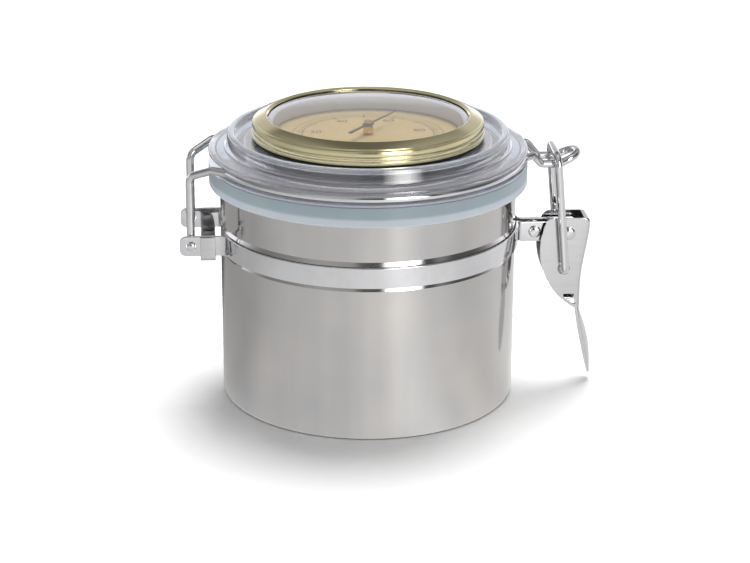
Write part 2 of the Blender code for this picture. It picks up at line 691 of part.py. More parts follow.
half_ring.append(((PIVOT_X + NOSE_TIP_OUT, -NOSE_Y, NOSE_Z + NOSE_TIP_UP), NOSE_BEND))
ring_path = half_ring + [((p[0], -p[1], p[2]), r) for p, r in half_ring[::-1]]
wire("lid_wire", rounded_path(ring_path), WIRE_R, CHROME, HINGE, lid_axis)

# Clear lid: groove for the wire, raised ridge, flat round the hygrometer, centring skirt
plug_r = SEAT_IN_R - GAP
groove_r = RING_R - WIRE_R - GAP
well_out = STEP_TOP_R - RIDGE_W
ridge = RIM_Z + RIDGE_RISE
edge = RIDGE_ROUND
lid = [(BORE_R, WELL_Z), (well_out - edge, WELL_Z), (well_out, WELL_Z + edge)]
lid += [(well_out, ridge - edge), (well_out + 0.4 * edge, ridge)]
lid += quarter(STEP_TOP_R - edge, ridge - edge, edge, 90, -90, 3)
lid += [(STEP_FOOT_R, RIM_Z + edge), (STEP_FOOT_R + edge, RIM_Z)]
lid += quarter(LID_R - LIP_ROUND, RIM_Z - LIP_ROUND, LIP_ROUND, 90, -90, 3)
lid += [(LID_R, GROOVE_HIGH), (groove_r, GROOVE_HIGH), (groove_r, GROOVE_LOW), (LID_R, GROOVE_LOW)]
lid += [(LID_R, SEAT_Z), (plug_r, SEAT_Z), (plug_r, SEAT_Z - PLUG_H)]
floor_low = WELL_Z - LID_FLOOR_T
lid += [(plug_r - PLUG_T, SEAT_Z - PLUG_H), (plug_r - PLUG_T, floor_low)]
lid += [(BORE_R + SLEEVE_T, floor_low), (BORE_R + SLEEVE_T, floor_low - SLEEVE_H)]
lid += [(BORE_R, floor_low - SLEEVE_H)]
turned("lid", lid, CLEAR, parent=lid_axis, closed=True)

# Gasket: thick washer on the rolled rim with a skirt round it
skirt_in = CUP_R + BEAD_OUT + SKIRT_AIR
gasket_top = GASKET_LOW + GASKET_H
gasket = [(SEAT_IN_R, gasket_top)]
gasket_edge = 0.6 * SKIRT_T
gasket += quarter(LID_R - gasket_edge, gasket_top - gasket_edge, gasket_edge, 90, -90, 2)
hem = 0.4 * SKIRT_T
gasket += quarter(LID_R - hem, GASKET_LOW - SKIRT_H + hem, hem, 0, -90, 2)
gasket += [(skirt_in, GASKET_LOW - SKIRT_H), (skirt_in, GASKET_LOW), (SEAT_IN_R, GASKET_LOW)]
turned("lid_gasket", gasket, SILICONE, parent=lid_axis, closed=True)

# Hygrometer: vented case, dial, grey ring, window, bezel and the seal under it
case_floor = CASE_LOW + CASE_T
ledge_top = DIAL_LOW - GAP
ledge_r = CASE_IN_R - LEDGE_IN
case = [(0, case_floor), (CASE_IN_R, case_floor), (CASE_IN_R, ledge_top - 2 * LEDGE_H)]
case += [(ledge_r, ledge_top - LEDGE_H), (ledge_r, ledge_top), (CASE_IN_R, ledge_top)]
case += [(CASE_IN_R, CASE_TOP), (CASE_R, CASE_TOP), (CASE_R, CASE_LOW), (0, CASE_LOW)]
case_cup = turned("hygrometer_case", case, BLACK, parent=lid_axis)
for i in range(VENTS):
    a = 2 * math.pi * (i + 0.5) / VENTS
    at = (VENT_AT_R * math.cos(a), VENT_AT_R * math.sin(a), CASE_LOW)
    vent = rod_mesh(f"vent_{i}", VENT_R, 4 * CASE_T, at, "Z", 16)
    cut(case_cup, cutter(f"vent_{i}", vent))

dial_r = CASE_IN_R - GAP
dial = [(ARBOR_R + RUN, DIAL_TOP), (dial_r, DIAL_TOP), (dial_r, DIAL_LOW), (ARBOR_R + RUN, DIAL_LOW)]
turned("dial_plate", dial, DIAL, parent=lid_axis, closed=True)

ring_low = DIAL_TOP + GAP
ring_edge = RING_T / 3
ring = [(dial_r - RING_T, ring_low + RING_H - ring_edge)]
ring += [(dial_r - RING_T + ring_edge, ring_low + RING_H)]
ring += [(dial_r, ring_low + RING_H), (dial_r, ring_low), (dial_r - RING_T, ring_low)]
turned("inner_ring", ring, GREY, parent=lid_axis, closed=True)

window_r = CASE_R
dome_r = BEZEL_LIP_R - GAP
glass_top = GLASS_LOW + GLASS_T
upper = [(dome_r * k / 6, glass_top + GLASS_DOME * (1 - (k / 6) ** 2)) for k in range(7)]
under_r = window_r - GLASS_RIM - GLASS_T
lower = [(under_r * k / 6, GLASS_LOW + GLASS_DOME * (1 - (k / 6) ** 2)) for k in range(7)]
window = upper + [(window_r, glass_top), (window_r, GLASS_LOW)] + lower[::-1]
turned("crystal", window, GLASS, parent=lid_axis)

shoulder_z = BEZEL_TOP - BEZEL_SHOULDER
bead = 0.6 * BEZEL_BEAD_IN
bezel = [(BEZEL_LIP_R, BEZEL_TOP), (BEZEL_BEAD_R - BEZEL_BEAD_IN, shoulder_z + BEZEL_SHOULDER / 2)]
bezel += quarter(BEZEL_BEAD_R - bead, shoulder_z + 0.85 * bead, bead, 70, -70, 3)
bezel += [(BEZEL_BEAD_R - 0.4 * BEZEL_BEAD_IN, shoulder_z)]
bezel += [(BEZEL_BEAD_R + 0.2 * BEZEL_BEAD_IN, shoulder_z - 0.4 * BEZEL_BEAD_IN)]
skirt_h = shoulder_z - BEZEL_LOW
bezel += [(BEZEL_R - 0.2 * BEZEL_BEAD_IN, BEZEL_LOW + 0.65 * skirt_h)]
bezel += [(BEZEL_R, BEZEL_LOW + 0.37 * skirt_h)]
bezel += quarter(BEZEL_R - BEZEL_ROUND, BEZEL_LOW + BEZEL_ROUND, BEZEL_ROUND, 0, -90, 3)
bezel += [(BORE_R, BEZEL_LOW), (BORE_R, LIP_LOW), (BEZEL_LIP_R, LIP_LOW)]
turned("hygrometer_bezel", bezel, BRASS, parent=lid_axis, closed=True)

seal = [(BORE_R, WELL_Z + GAP + SEAL_T), (SEAL_R, WELL_Z + GAP + SEAL_T)]
seal += [(SEAL_R, WELL_Z + GAP), (BORE_R, WELL_Z + GAP)]
turned("bezel_seal", seal, RUBBER, parent=lid_axis, closed=True)

# Movement below the dial: a bridge, the sensing coil, and the arbor that carries the pointer
foot_z = DIAL_LOW - GAP - BRIDGE_T / 2
deep_z = foot_z - BRIDGE_DROP
span = BRIDGE_SPAN / 2
half_bridge = [((-span - BRIDGE_FOOT, foot_z, 0), 0), ((-span, foot_z, 0), BRIDGE_BEND)]
half_bridge += [((-span, deep_z, 0), BRIDGE_BEND)]
bridge_path = rounded_path(half_bridge + [((-p[0], p[1], 0), r) for p, r in half_bridge[::-1]])
bridge_mesh = upright_mesh(
    "movement_bridge", thick_line(bridge_path, BRIDGE_T), -BRIDGE_W / 2, BRIDGE_W / 2
)
bridge = keep("movement_bridge", bridge_mesh, GOLD, HINGE, lid_axis)
hole = rod_mesh("bridge_hole", ARBOR_R + RUN, 4 * BRIDGE_T, (0, 0, deep_z))
cut(bridge, cutter("bridge_hole", hole))

coil_path = []
for i in range(COIL_TURNS * 14 + 1):
    a = -math.pi / 2 + 2 * math.pi * i / 14
    r = COIL_IN_R + COIL_PITCH * i / 14
    coil_path.append(Vector((r * math.cos(a), r * math.sin(a), 0)))
coil_path.append(Vector((span - BRIDGE_T / 2 - GAP, -BRIDGE_W / 4, 0)))
coil_low = deep_z + COIL_UP
coil_mesh = flat_mesh("hygro_coil", thick_line(coil_path, COIL_T), coil_low, coil_low + COIL_H)
keep("hygro_coil", coil_mesh, COPPER, HINGE, lid_axis)

needle_axis = axis_empty("needle_axis", (0, 0, DIAL_TOP), lid_axis)
hub_top = HUB_LOW + BOSS_H
blade_low = hub_top + GAP
blade_top = blade_low + POINTER_T
arbor_low = deep_z - BRIDGE_T / 2 - GAP
arbor_at = (0, 0, (blade_top + arbor_low) / 2)
arbor = rod_mesh("arbor", ARBOR_R, blade_top - arbor_low, arbor_at, "Z", 16)
keep("arbor", arbor, GOLD, (0, 0, DIAL_TOP), needle_axis)
hub = [(ARBOR_R + RUN, hub_top), (BOSS_R, hub_top), (1.12 * BOSS_R, HUB_LOW)]
hub += [(ARBOR_R + RUN, HUB_LOW)]
turned("pointer_hub", hub, GOLD, (0, 0, DIAL_TOP), needle_axis, closed=True, facets=24)
half_w = POINTER_W / 2
blade = [(-POINTER_TAIL, 0.55 * half_w), (-1.5 * half_w, 0.45 * half_w), (-0.5 * half_w, half_w)]
blade += [(0.5 * half_w, half_w), (1.5 * half_w, 0.4 * half_w), (POINTER_L, 0.1 * half_w)]
blade += [(x, -y) for x, y in blade[::-1]]
turn = Matrix.Rotation(POINTER_TURN, 4, "Z")
blade_mesh = flat_mesh("pointer", blade, blade_low, blade_top)
blade_mesh.transform(turn)
pointer = keep("pointer", blade_mesh, NEEDLE, (0, 0, DIAL_TOP), needle_axis)
hole = rod_mesh("pointer_hole", ARBOR_R + RUN, 4 * POINTER_T, (0, 0, blade_low))
cut(pointer, cutter("pointer_hole", hole))
cap = [(0, blade_top + GAP + CAP_H), (0.6 * CAP_R, blade_top + GAP + 0.9 * CAP_H)]
cap += [(CAP_R, blade_top + GAP + 0.5 * CAP_H), (CAP_R, blade_top + GAP), (0, blade_top + GAP)]
turned("pointer_cap", cap, GOLD, (0, 0, DIAL_TOP), needle_axis, facets=24)

for obj in CANISTER.objects:
    if obj.type == "MESH":
        obj.data.shade_smooth()
        obj.data.set_sharp_from_angle(angle=math.radians(40))
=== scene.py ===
"""Clamp lid canister with a dial hygrometer in its clear lid: surfaces, finishes, studio and camera."""

import math

import bmesh
import bpy
import numpy as np
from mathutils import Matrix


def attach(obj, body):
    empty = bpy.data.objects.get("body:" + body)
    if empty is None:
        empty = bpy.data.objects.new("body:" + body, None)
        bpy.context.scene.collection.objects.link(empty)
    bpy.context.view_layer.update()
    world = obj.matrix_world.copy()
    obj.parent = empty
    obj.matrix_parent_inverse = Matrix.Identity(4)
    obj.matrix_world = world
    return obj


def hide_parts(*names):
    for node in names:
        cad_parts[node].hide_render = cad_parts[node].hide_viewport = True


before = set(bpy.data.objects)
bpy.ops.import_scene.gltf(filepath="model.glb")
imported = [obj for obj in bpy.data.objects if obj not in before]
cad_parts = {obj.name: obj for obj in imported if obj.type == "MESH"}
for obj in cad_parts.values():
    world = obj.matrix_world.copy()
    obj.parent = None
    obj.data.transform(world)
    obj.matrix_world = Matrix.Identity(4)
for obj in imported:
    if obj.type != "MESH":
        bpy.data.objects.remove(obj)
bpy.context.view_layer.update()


# Camera: a long lens on a tripod a little above the lid, looking down by 20 degrees and turned
# four degrees past the front of the canister, so the hinge is the nearer end.
def stood(thing, right, up, back, at):
    """Stands a camera or lamp at a point, with its own X, Y and Z along right, up and back."""
    pose = np.eye(4)
    pose[:3] = np.column_stack([right, up, back, at])
    thing.matrix_world = pose.T.tolist()
    bpy.context.collection.objects.link(thing)


view_turn = math.radians(4.0)
lens_away, lens_up = 0.7200, 0.2987
tilt, pan, lens_roll = 0.34795, 0.00346, 0.00389
lens_pixels, photo_wide, sensor_wide = 2227.9, 750, 36.0
camera = bpy.data.objects.new("camera", bpy.data.cameras.new("camera"))
camera.data.sensor_width = sensor_wide
camera.data.lens = lens_pixels * sensor_wide / photo_wide
heading = view_turn + pan
ahead = np.array([math.sin(heading) * math.cos(tilt), math.cos(heading) * math.cos(tilt), -math.sin(tilt)])
level = np.array([math.cos(heading), -math.sin(heading), 0.0])
across = math.cos(lens_roll) * level + math.sin(lens_roll) * np.cross(level, ahead)
lens_at = (-lens_away * math.sin(view_turn), -lens_away * math.cos(view_turn), lens_up)
stood(camera, across, np.cross(across, ahead), -ahead, lens_at)
bpy.context.scene.camera = camera
bpy.context.scene.view_settings.view_transform = "Standard"


# Studio: a white laminate table top under a dim white sky that is a little brighter overhead. One
# round softbox above and behind the canister throws a soft shadow towards the camera.
def linear(code):
    """An sRGB hex colour as linear red, green, blue and alpha, by the sRGB curve."""
    shade = np.array([int(code[k:k + 2], 16) for k in (0, 2, 4)]) / 255
    shade = np.where(shade <= 0.04045, shade / 12.92, ((shade + 0.055) / 1.055) ** 2.4)
    return (*shade.tolist(), 1.0)


def add(tree, kind, inputs=(), out=0, **settings):
    """Adds a node and gives one of its outputs. Settings are its properties. Inputs are values or
    outputs of other nodes, in the order of its sockets or by their names."""
    made = tree.nodes.new(kind)
    for key, value in settings.items():
        setattr(made, key, value)
    for key, value in inputs.items() if isinstance(inputs, dict) else enumerate(inputs):
        if isinstance(value, bpy.types.NodeSocket):
            tree.links.new(value, made.inputs[key])
        else:
            made.inputs[key].default_value = value
    return made.outputs[out]


def material(name, **sockets):
    """A new material, its node tree and its shader, with the shader's own sockets set."""
    made = bpy.data.materials.new(name)
    made.use_nodes = True
    shader = made.node_tree.nodes["Principled BSDF"]
    for key, value in sockets.items():
        shader.inputs[key.replace("_", " ")].default_value = value
    return made, made.node_tree, shader


def blotches(tree, grain, detail=3.0):
    """Noise from 0 to 1 over a piece: its place in metres times 1000 over grain, a blotch's size in
    millimetres, one for all axes or one for each."""
    place = add(tree, "ShaderNodeTexCoord", out="Object")
    scale = np.broadcast_to(1000 / np.array(grain), 3).tolist()
    place = add(tree, "ShaderNodeMapping", {"Vector": place, "Scale": scale})
    return add(tree, "ShaderNodeTexNoise", {"Vector": place, "Scale": 1.0, "Detail": detail})


def skin(tree, shader, pattern, dark, light, haze=None, relief=None):
    """Lets a pattern from 0 to 1 drive a surface: its colour runs between two hex colours, its
    roughness between the two values of haze, and relief is a bump's strength and depth in metres."""
    colour = add(tree, "ShaderNodeMix", {"Factor": pattern, "A": linear(dark), "B": linear(light)}, "Result",
                 data_type="RGBA")
    tree.links.new(colour, shader.inputs["Base Color"])
    if haze:
        rough = add(tree, "ShaderNodeMapRange", {"Value": pattern, "To Min": haze[0], "To Max": haze[1]})
        tree.links.new(rough, shader.inputs["Roughness"])
    if relief:
        bump = {"Height": pattern, "Strength": relief[0], "Distance": relief[1]}
        tree.links.new(add(tree, "ShaderNodeBump", bump), shader.inputs["Normal"])


# Melamine laminate is an even white with a very faint pebble, here 7 mm wide.
table_wide = 6.0
bpy.ops.mesh.primitive_plane_add(size=table_wide)
table_top = bpy.context.object
table_top.name = "table_top"
white, tree, shader = material("white_laminate", Roughness=0.7)
skin(tree, shader, blotches(tree, 6.667), "F3F3F3", "F6F6F6")
table_top.data.materials.append(white)

sky_low, sky_high = 0.30, 0.50
world = bpy.data.worlds.new("studio")
bpy.context.scene.world = world
world.use_nodes = True
tree = world.node_tree
skyward = add(tree, "ShaderNodeSeparateXYZ", [add(tree, "ShaderNodeTexCoord")], "Z")
lift = add(tree, "ShaderNodeMapRange", [skyward, 0.0, 0.9, sky_low, sky_high],
           interpolation_type="SMOOTHSTEP")
tree.nodes["Background"].inputs["Color"].default_value = (1.0, 1.0, 1.0, 1.0)
tree.links.new(lift, tree.nodes["Background"].inputs["Strength"])

softbox_wide = 0.70
softbox_watts = 15.5
softbox_at = np.array([0.10, 0.32, 1.05])
softbox = bpy.data.objects.new("softbox", bpy.data.lights.new("softbox", "AREA"))
softbox.data.shape = "DISK"
softbox.data.size = softbox_wide
softbox.data.energy = softbox_watts
softbox.visible_glossy = softbox.visible_transmission = False
back = softbox_at / np.linalg.norm(softbox_at)
right = np.cross((0.0, 1.0, 0.0), back)
right /= np.linalg.norm(right)
stood(softbox, right, np.cross(back, right), back, softbox_at)


# Tent: cloth drawn round the studio, which only reflections see. Its floor is brightest just right
# of the camera, its wall is mostly dark from there round to the right but for one tall bright
# window, and paler at the left and behind. Its roof is grey, dimmest behind.
def grid_faces(rows, columns, wrap_rows=False, wrap_columns=False):
    """Quads of a grid of points, joined round where it wraps."""
    i, j = np.meshgrid(np.arange(rows - (not wrap_rows)), np.arange(columns - (not wrap_columns)),
                       indexing="ij")
    i, j = i.ravel(), j.ravel()
    here, down, right = i * columns, (i + 1) % rows * columns, (j + 1) % columns
    return np.column_stack([here + j, here + right, down + right, down + j]).tolist()


def polar(tree):
    """Each point's distance from the Z axis, its angle round it and its height."""
    place = add(tree, "ShaderNodeTexCoord", out="Object")
    x, y, height = add(tree, "ShaderNodeSeparateXYZ", [place]).node.outputs
    flat = add(tree, "ShaderNodeVectorMath", [place, (1.0, 1.0, 0.0)], operation="MULTIPLY")
    radius = add(tree, "ShaderNodeVectorMath", [flat], "Value", operation="LENGTH")
    return radius, add(tree, "ShaderNodeMath", [y, x], operation="ARCTAN2"), height


def by_bearing(tree, bearing, stops):
    """A grey for each bearing, eased between stops of (degrees, grey). A stop's colour ends at 1, so
    greys are stored halved, and the cloth's emission strength of 2 brings them back."""
    part = add(tree, "ShaderNodeMapRange", [bearing, -180.0, 180.0])
    grey = add(tree, "ShaderNodeValToRGB", [part])
    grey.node.color_ramp.interpolation = "EASE"
    knobs = grey.node.color_ramp.elements
    while len(knobs) < len(stops):
        knobs.new(0.5)
    for knob, (degrees, tone) in zip(knobs, stops):
        knob.position = (degrees + 180) / 360
    for knob, (degrees, tone) in zip(knobs, stops):
        knob.color = (tone / 2, tone / 2, tone / 2, 1.0)
    return grey


tent_r, above_table = 2.0, 0.0004
tent_sides = 96
tent_line = np.array([(0.0, above_table), (tent_r, above_table), (tent_r, 1.2), (1.6, 1.8), (0.9, 2.2),
                      (0.0, 2.3)])
a = np.linspace(0, 2 * math.pi, tent_sides, endpoint=False)[:, None]
r, z = tent_line.T[:, None]
tent_points = np.stack(np.broadcast_arrays(r * np.cos(a), r * np.sin(a), z), -1).reshape(-1, 3)
mesh = bpy.data.meshes.new("reflection_tent")
mesh.from_pydata(tent_points.tolist(), [], grid_faces(tent_sides, len(tent_line), True))
tent = bpy.data.objects.new("reflection_tent", mesh)
bpy.context.collection.objects.link(tent)
cloth, tree, shader = material("tent_cloth", Roughness=1.0, Base_Color=(0.0, 0.0, 0.0, 1.0),
                               Specular_IOR_Level=0.0, Emission_Strength=2.0)
radius, angle, height = polar(tree)
bearing = add(tree, "ShaderNodeMath", [angle], operation="DEGREES")
bearing = add(tree, "ShaderNodeMath", [bearing, 90.0], operation="ADD")
bearing = add(tree, "ShaderNodeMath", [bearing, 180.0, -180.0], operation="WRAP")
radius = add(tree, "ShaderNodeMath", [radius, 0.001], operation="MAXIMUM")
slope = add(tree, "ShaderNodeMath", [height, radius], operation="DIVIDE")
floor_light = by_bearing(tree, bearing, [
    (-180, 0.36), (-172, 0.18), (-158, 0.09), (-145, 0.13), (-134, 0.44), (-96, 0.53), (-55, 0.74),
    (-22, 0.82), (0, 0.93), (18, 1.16), (43, 0.92), (70, 0.78), (103, 0.90), (147, 0.80), (165, 0.50),
    (180, 0.36)])
wall_light = by_bearing(tree, bearing, [
    (-180, 0.64), (-150, 0.64), (-130, 0.45), (-110, 0.13), (-70, 0.36), (-40, 0.55), (-18, 0.50),
    (-6, 0.14), (8, 0.05), (44, 0.06), (54, 0.34), (66, 0.13), (102, 0.11), (130, 0.45), (150, 0.66),
    (180, 0.64)])
roof_light = by_bearing(tree, bearing, [
    (-180, 0.155), (-168, 0.17), (-140, 0.42), (-60, 0.50), (0, 0.56), (60, 0.50), (140, 0.45), (168, 0.17),
    (180, 0.155)])
# Tones are halved here too. A slope is height over distance. Behind, the wall is pale below a
# slope of about a third and the roof starts at 0.65, where in front it starts at 1.15.
low_pale, low_grey = (0.78, 0.77, 0.83, 1.0), (0.37, 0.37, 0.38, 1.0)
overhead_grey, window_white = (0.65, 0.65, 0.66, 1.0), (4.6, 4.58, 4.54, 1.0)
turned_away = add(tree, "ShaderNodeMath", [bearing], operation="ABSOLUTE")
behind = add(tree, "ShaderNodeMapRange", [turned_away, 80.0, 125.0], interpolation_type="SMOOTHSTEP")
low_wall = add(tree, "ShaderNodeMapRange", [slope, 0.28, 0.42, 1.0, 0.0], interpolation_type="SMOOTHSTEP")
low_behind = add(tree, "ShaderNodeMath", [low_wall, behind], operation="MULTIPLY")
from_floor = add(tree, "ShaderNodeMapRange", [slope, 0.10, 0.26])
low_tone = add(tree, "ShaderNodeMix", {"Factor": from_floor, "A": low_pale, "B": low_grey}, "Result",
               data_type="RGBA")
roof_starts = add(tree, "ShaderNodeMath", [behind, -0.5, 1.15], operation="MULTIPLY_ADD")
up_to_roof = add(tree, "ShaderNodeMath", [slope, roof_starts], operation="DIVIDE")
on_roof = add(tree, "ShaderNodeMapRange", [up_to_roof, 0.85, 1.15], interpolation_type="SMOOTHSTEP")
overhead = add(tree, "ShaderNodeMapRange", [slope, 4.0, 7.0], interpolation_type="SMOOTHSTEP")
# The window has four soft edges: its left and right bearings, its sill and its head.
in_window = 1.0
for value, outside, inside in ((bearing, 7, 21), (bearing, 40, 28), (slope, 0.0, 0.02), (slope, 1.00, 0.60)):
    edge = add(tree, "ShaderNodeMapRange", [value, outside, inside])
    in_window = add(tree, "ShaderNodeMath", [in_window, edge], operation="MULTIPLY")
on_floor = add(tree, "ShaderNodeMapRange", [height, 0.001, 0.01, 1.0, 0.0])
lit = wall_light
for mask, tone in ((low_behind, low_tone), (on_roof, roof_light), (overhead, overhead_grey),
                   (in_window, window_white), (on_floor, floor_light)):
    lit = add(tree, "ShaderNodeMix", {"Factor": mask, "A": lit, "B": tone}, "Result", data_type="RGBA")
tree.links.new(lit, shader.inputs["Emission Color"])
mesh.materials.append(cloth)
tent.visible_camera = tent.visible_diffuse = tent.visible_shadow = tent.visible_transmission = False


# Cup: one drawn cup of thin stainless sheet with a rolled rim, its outside buffed to a soft
# mirror. A shallow bead is pressed into the wall either side of the strap.
def weld(mesh, within=1e-7):
    """Merges points that lie together, as at a pole or seam, and turns every face outwards."""
    work = bmesh.new()
    work.from_mesh(mesh)
    bmesh.ops.remove_doubles(work, verts=work.verts, dist=within)
    bmesh.ops.dissolve_degenerate(work, edges=work.edges, dist=within)
    bmesh.ops.recalc_face_normals(work, faces=work.faces)
    work.to_mesh(mesh)
    work.free()


def finish(name, points, faces, look, body, stands_for=(), slot=None, carve=()):
    """A mesh object from points and faces, shaded smooth up to 35 degrees, riding on its body.
    Each carving tool is (points, faces, way), a closed shape cut from the piece or joined to it."""
    mesh = bpy.data.meshes.new(name)
    mesh.from_pydata(np.reshape(points, (-1, 3)).tolist(), [], faces)
    weld(mesh)
    made = bpy.data.objects.new(name, mesh)
    bpy.context.collection.objects.link(made)
    for tool_points, tool_faces, way in carve:
        tool = bpy.data.objects.new("tool", bpy.data.meshes.new("tool"))
        tool.data.from_pydata(np.reshape(tool_points, (-1, 3)).tolist(), [], tool_faces)
        weld(tool.data)
        bpy.context.collection.objects.link(tool)
        step = made.modifiers.new("carve", "BOOLEAN")
        step.operation, step.solver, step.object = way, "EXACT", tool
        bpy.context.view_layer.update()
        seen = made.evaluated_get(bpy.context.evaluated_depsgraph_get())
        carved = bpy.data.meshes.new_from_object(seen)
        made.modifiers.clear()
        made.data = carved
        bpy.data.objects.remove(tool, do_unlink=True)
    made.data.materials.clear()
    made.data.materials.append(look)
    made.data.shade_smooth()
    made.data.set_sharp_from_angle(angle=math.radians(35.0))
    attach(made, body)
    if stands_for:
        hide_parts(*stands_for)
    return made


def eased(corners, closed=False, runs=6):
    """A line through corners, each a point and a radius: an arc of that radius replaces the corner
    and touches both straight runs."""
    corners = np.array(corners, float)
    spots, radii = corners[:, :-1], corners[:, -1]
    made = []
    for k, (here, radius) in enumerate(zip(spots, radii)):
        if radius == 0 or (not closed and k in (0, len(spots) - 1)):
            made.append(here[None])
            continue
        back = spots[k - 1] - here
        onward = spots[(k + 1) % len(spots)] - here
        back, onward = back / np.linalg.norm(back), onward / np.linalg.norm(onward)
        half = math.acos(np.clip(back @ onward, -1, 1)) / 2
        centre = here + (back + onward) / np.linalg.norm(back + onward) * radius / math.sin(half)
        start = here + back * radius / math.tan(half) - centre
        a = np.linspace(0, math.pi - 2 * half, runs + 1)[:, None]
        made.append(centre + np.cos(a) * start - np.sin(a) * back * radius)
    return np.vstack(made)


def turned(name, profile, look, body, closed=True, rings=256, lies_at=None, **facts):
    """A turned piece: each point (r, z) of the profile goes round the Z axis in a circle of radius r.
    One that lies along Y is turned on its side and moved to lies_at."""
    a = np.linspace(0, 2 * math.pi, rings, endpoint=False)[:, None]
    r, z = profile.T[:, None]
    x, y, z = np.broadcast_arrays(r * np.cos(a), r * np.sin(a), z)
    points = np.stack([x, y, z], -1)
    if lies_at is not None:
        points = np.stack([x, -z, y], -1) + np.array(lies_at)
    return finish(name, points, grid_faces(rings, len(profile), True, closed), look, body, **facts)


cup_r, cup_wall, cup_high = 0.0500, 0.0008, 0.0771
rim_out, rim_deep = 0.0020, 0.0016
strap_low, strap_high = 0.0534, 0.0604
bead_deep, bead_wide = 0.0007, 0.0016
cup_line = [(0.0, cup_wall, 0), (cup_r - cup_wall, cup_wall, 0.0012), (cup_r - cup_wall, cup_high, 0.0004),
            (cup_r + rim_out, cup_high, 0.0007), (cup_r + rim_out, cup_high - rim_deep, 0.0007),
            (cup_r, cup_high - rim_deep, 0.0002),
            (cup_r, strap_high + bead_wide, 0.0001),
            (cup_r - bead_deep, strap_high + bead_wide - 0.0002, 0.0001),
            (cup_r, strap_high, 0.0001), (cup_r, strap_low + 0.0004, 0.0001),
            (cup_r - bead_deep, strap_low + 0.0002, 0.0001), (cup_r, strap_low - bead_wide + 0.0002, 0.0002),
            (cup_r, 0.0, 0.0018), (0.0, 0.0, 0)]
# Drawing and buffing leave faint upright streaks about 14 mm wide, and clouds of 29 mm in the mirror.
steel, tree, shader = material("buffed_stainless_steel", Metallic=1.0, Roughness=0.11)
streaks = blotches(tree, (14.286, 14.286, 250.0), detail=4.0)
clouds = blotches(tree, 29.412, detail=2.0)
streak_part = add(tree, "ShaderNodeMath", [streaks, 0.45], operation="MULTIPLY")
both = add(tree, "ShaderNodeMath", [clouds, 0.55, streak_part], operation="MULTIPLY_ADD")
skin(tree, shader, add(tree, "ShaderNodeMapRange", [both, 0.30, 0.70]), "B5B5B6", "CCC8C4")
haze = add(tree, "ShaderNodeMapRange", {"Value": streaks, "To Min": 0.07, "To Max": 0.15})
tree.links.new(haze, shader.inputs["Roughness"])
turned("drawn_cup", eased(cup_line, runs=5), steel, "canister", closed=False, stands_for=["canister_body"],
       slot="brushed_steel")

# Strap: two half bands of bright plated steel strip, bent out at both ends into lugs with
# rounded corners. The hinge pins go through one pair, the clasp's rivet and pin through the other.
strap_thick = 0.0008
strap_mid = cup_r + 0.0003 + strap_thick / 2
hinge_x, clasp_x, pin_z = -0.0600, 0.0683, (strap_low + strap_high) / 2
clasp_z = pin_z - 0.0015
rivet_x = 0.0569
hinge_lug_y, clasp_lug_y = 0.0152, 0.0023
hinge_bend, clasp_bend = 0.0035, 0.0020
bend_room = 1.2
lug_past_pin = 0.0038
lug_corner = 0.0022
wire_r = 0.00135
wire_hole_r, pin_hole_r, rivet_hole_r = wire_r + 0.0003, 0.0018, 0.0017
through_lug = 0.0012
# Bright nickel is almost a mirror, with a ripple of 4 mm that only bends its reflections.
plated, tree, shader = material("bright_nickel_plated_steel", Metallic=1.0, Roughness=0.07)
skin(tree, shader, blotches(tree, 3.846, detail=2.0), "D0D0D1", "DCDCDE", haze=(0.05, 0.10),
     relief=(0.05, 0.0001))


def carried(line, section):
    """A section (across, up) carried along a plane line: the line plus its normal times across gives
    the first two coordinates, and up is the third."""
    run = np.gradient(line, axis=0)
    run /= np.linalg.norm(run, axis=1)[:, None]
    normal = np.stack([-run[:, 1], run[:, 0]], 1)
    flat = line[:, None] + normal[:, None] * section[None, :, :1]
    return np.dstack([flat, np.broadcast_to(section[None, :, 1], flat.shape[:2])])


def strip(thick, high, edge, runs=3):
    """The section of a flat strip: a rectangle of thick by twice high, its four edges rounded."""
    half = thick / 2
    return eased([(-half, high, edge), (-half, -high, edge), (half, -high, edge), (half, high, edge)],
                 closed=True, runs=runs)


def capped(rows, columns):
    """Faces of a ring of columns carried along rows, with both ends closed."""
    last = (rows - 1) * columns
    return grid_faces(rows, columns, False, True) + [list(range(columns)), list(range(last, last + columns))]


def rod(radius, half_length, at, sides=48):
    """A round rod along Y, as a carving tool for a hole."""
    a = np.linspace(0, 2 * math.pi, sides, endpoint=False)
    ring = np.stack([at[0] + radius * np.cos(a), 0 * a, at[2] + radius * np.sin(a)], 1)
    shift = np.array([[0, at[1] - half_length, 0], [0, at[1] + half_length, 0]])
    return ring[None] + shift[:, None], capped(2, sides), "DIFFERENCE"


def smooth(t):
    """The S curve 3t^2 - 2t^3 between 0 and 1."""
    t = np.clip(t, 0, 1)
    return t * t * (3 - 2 * t)


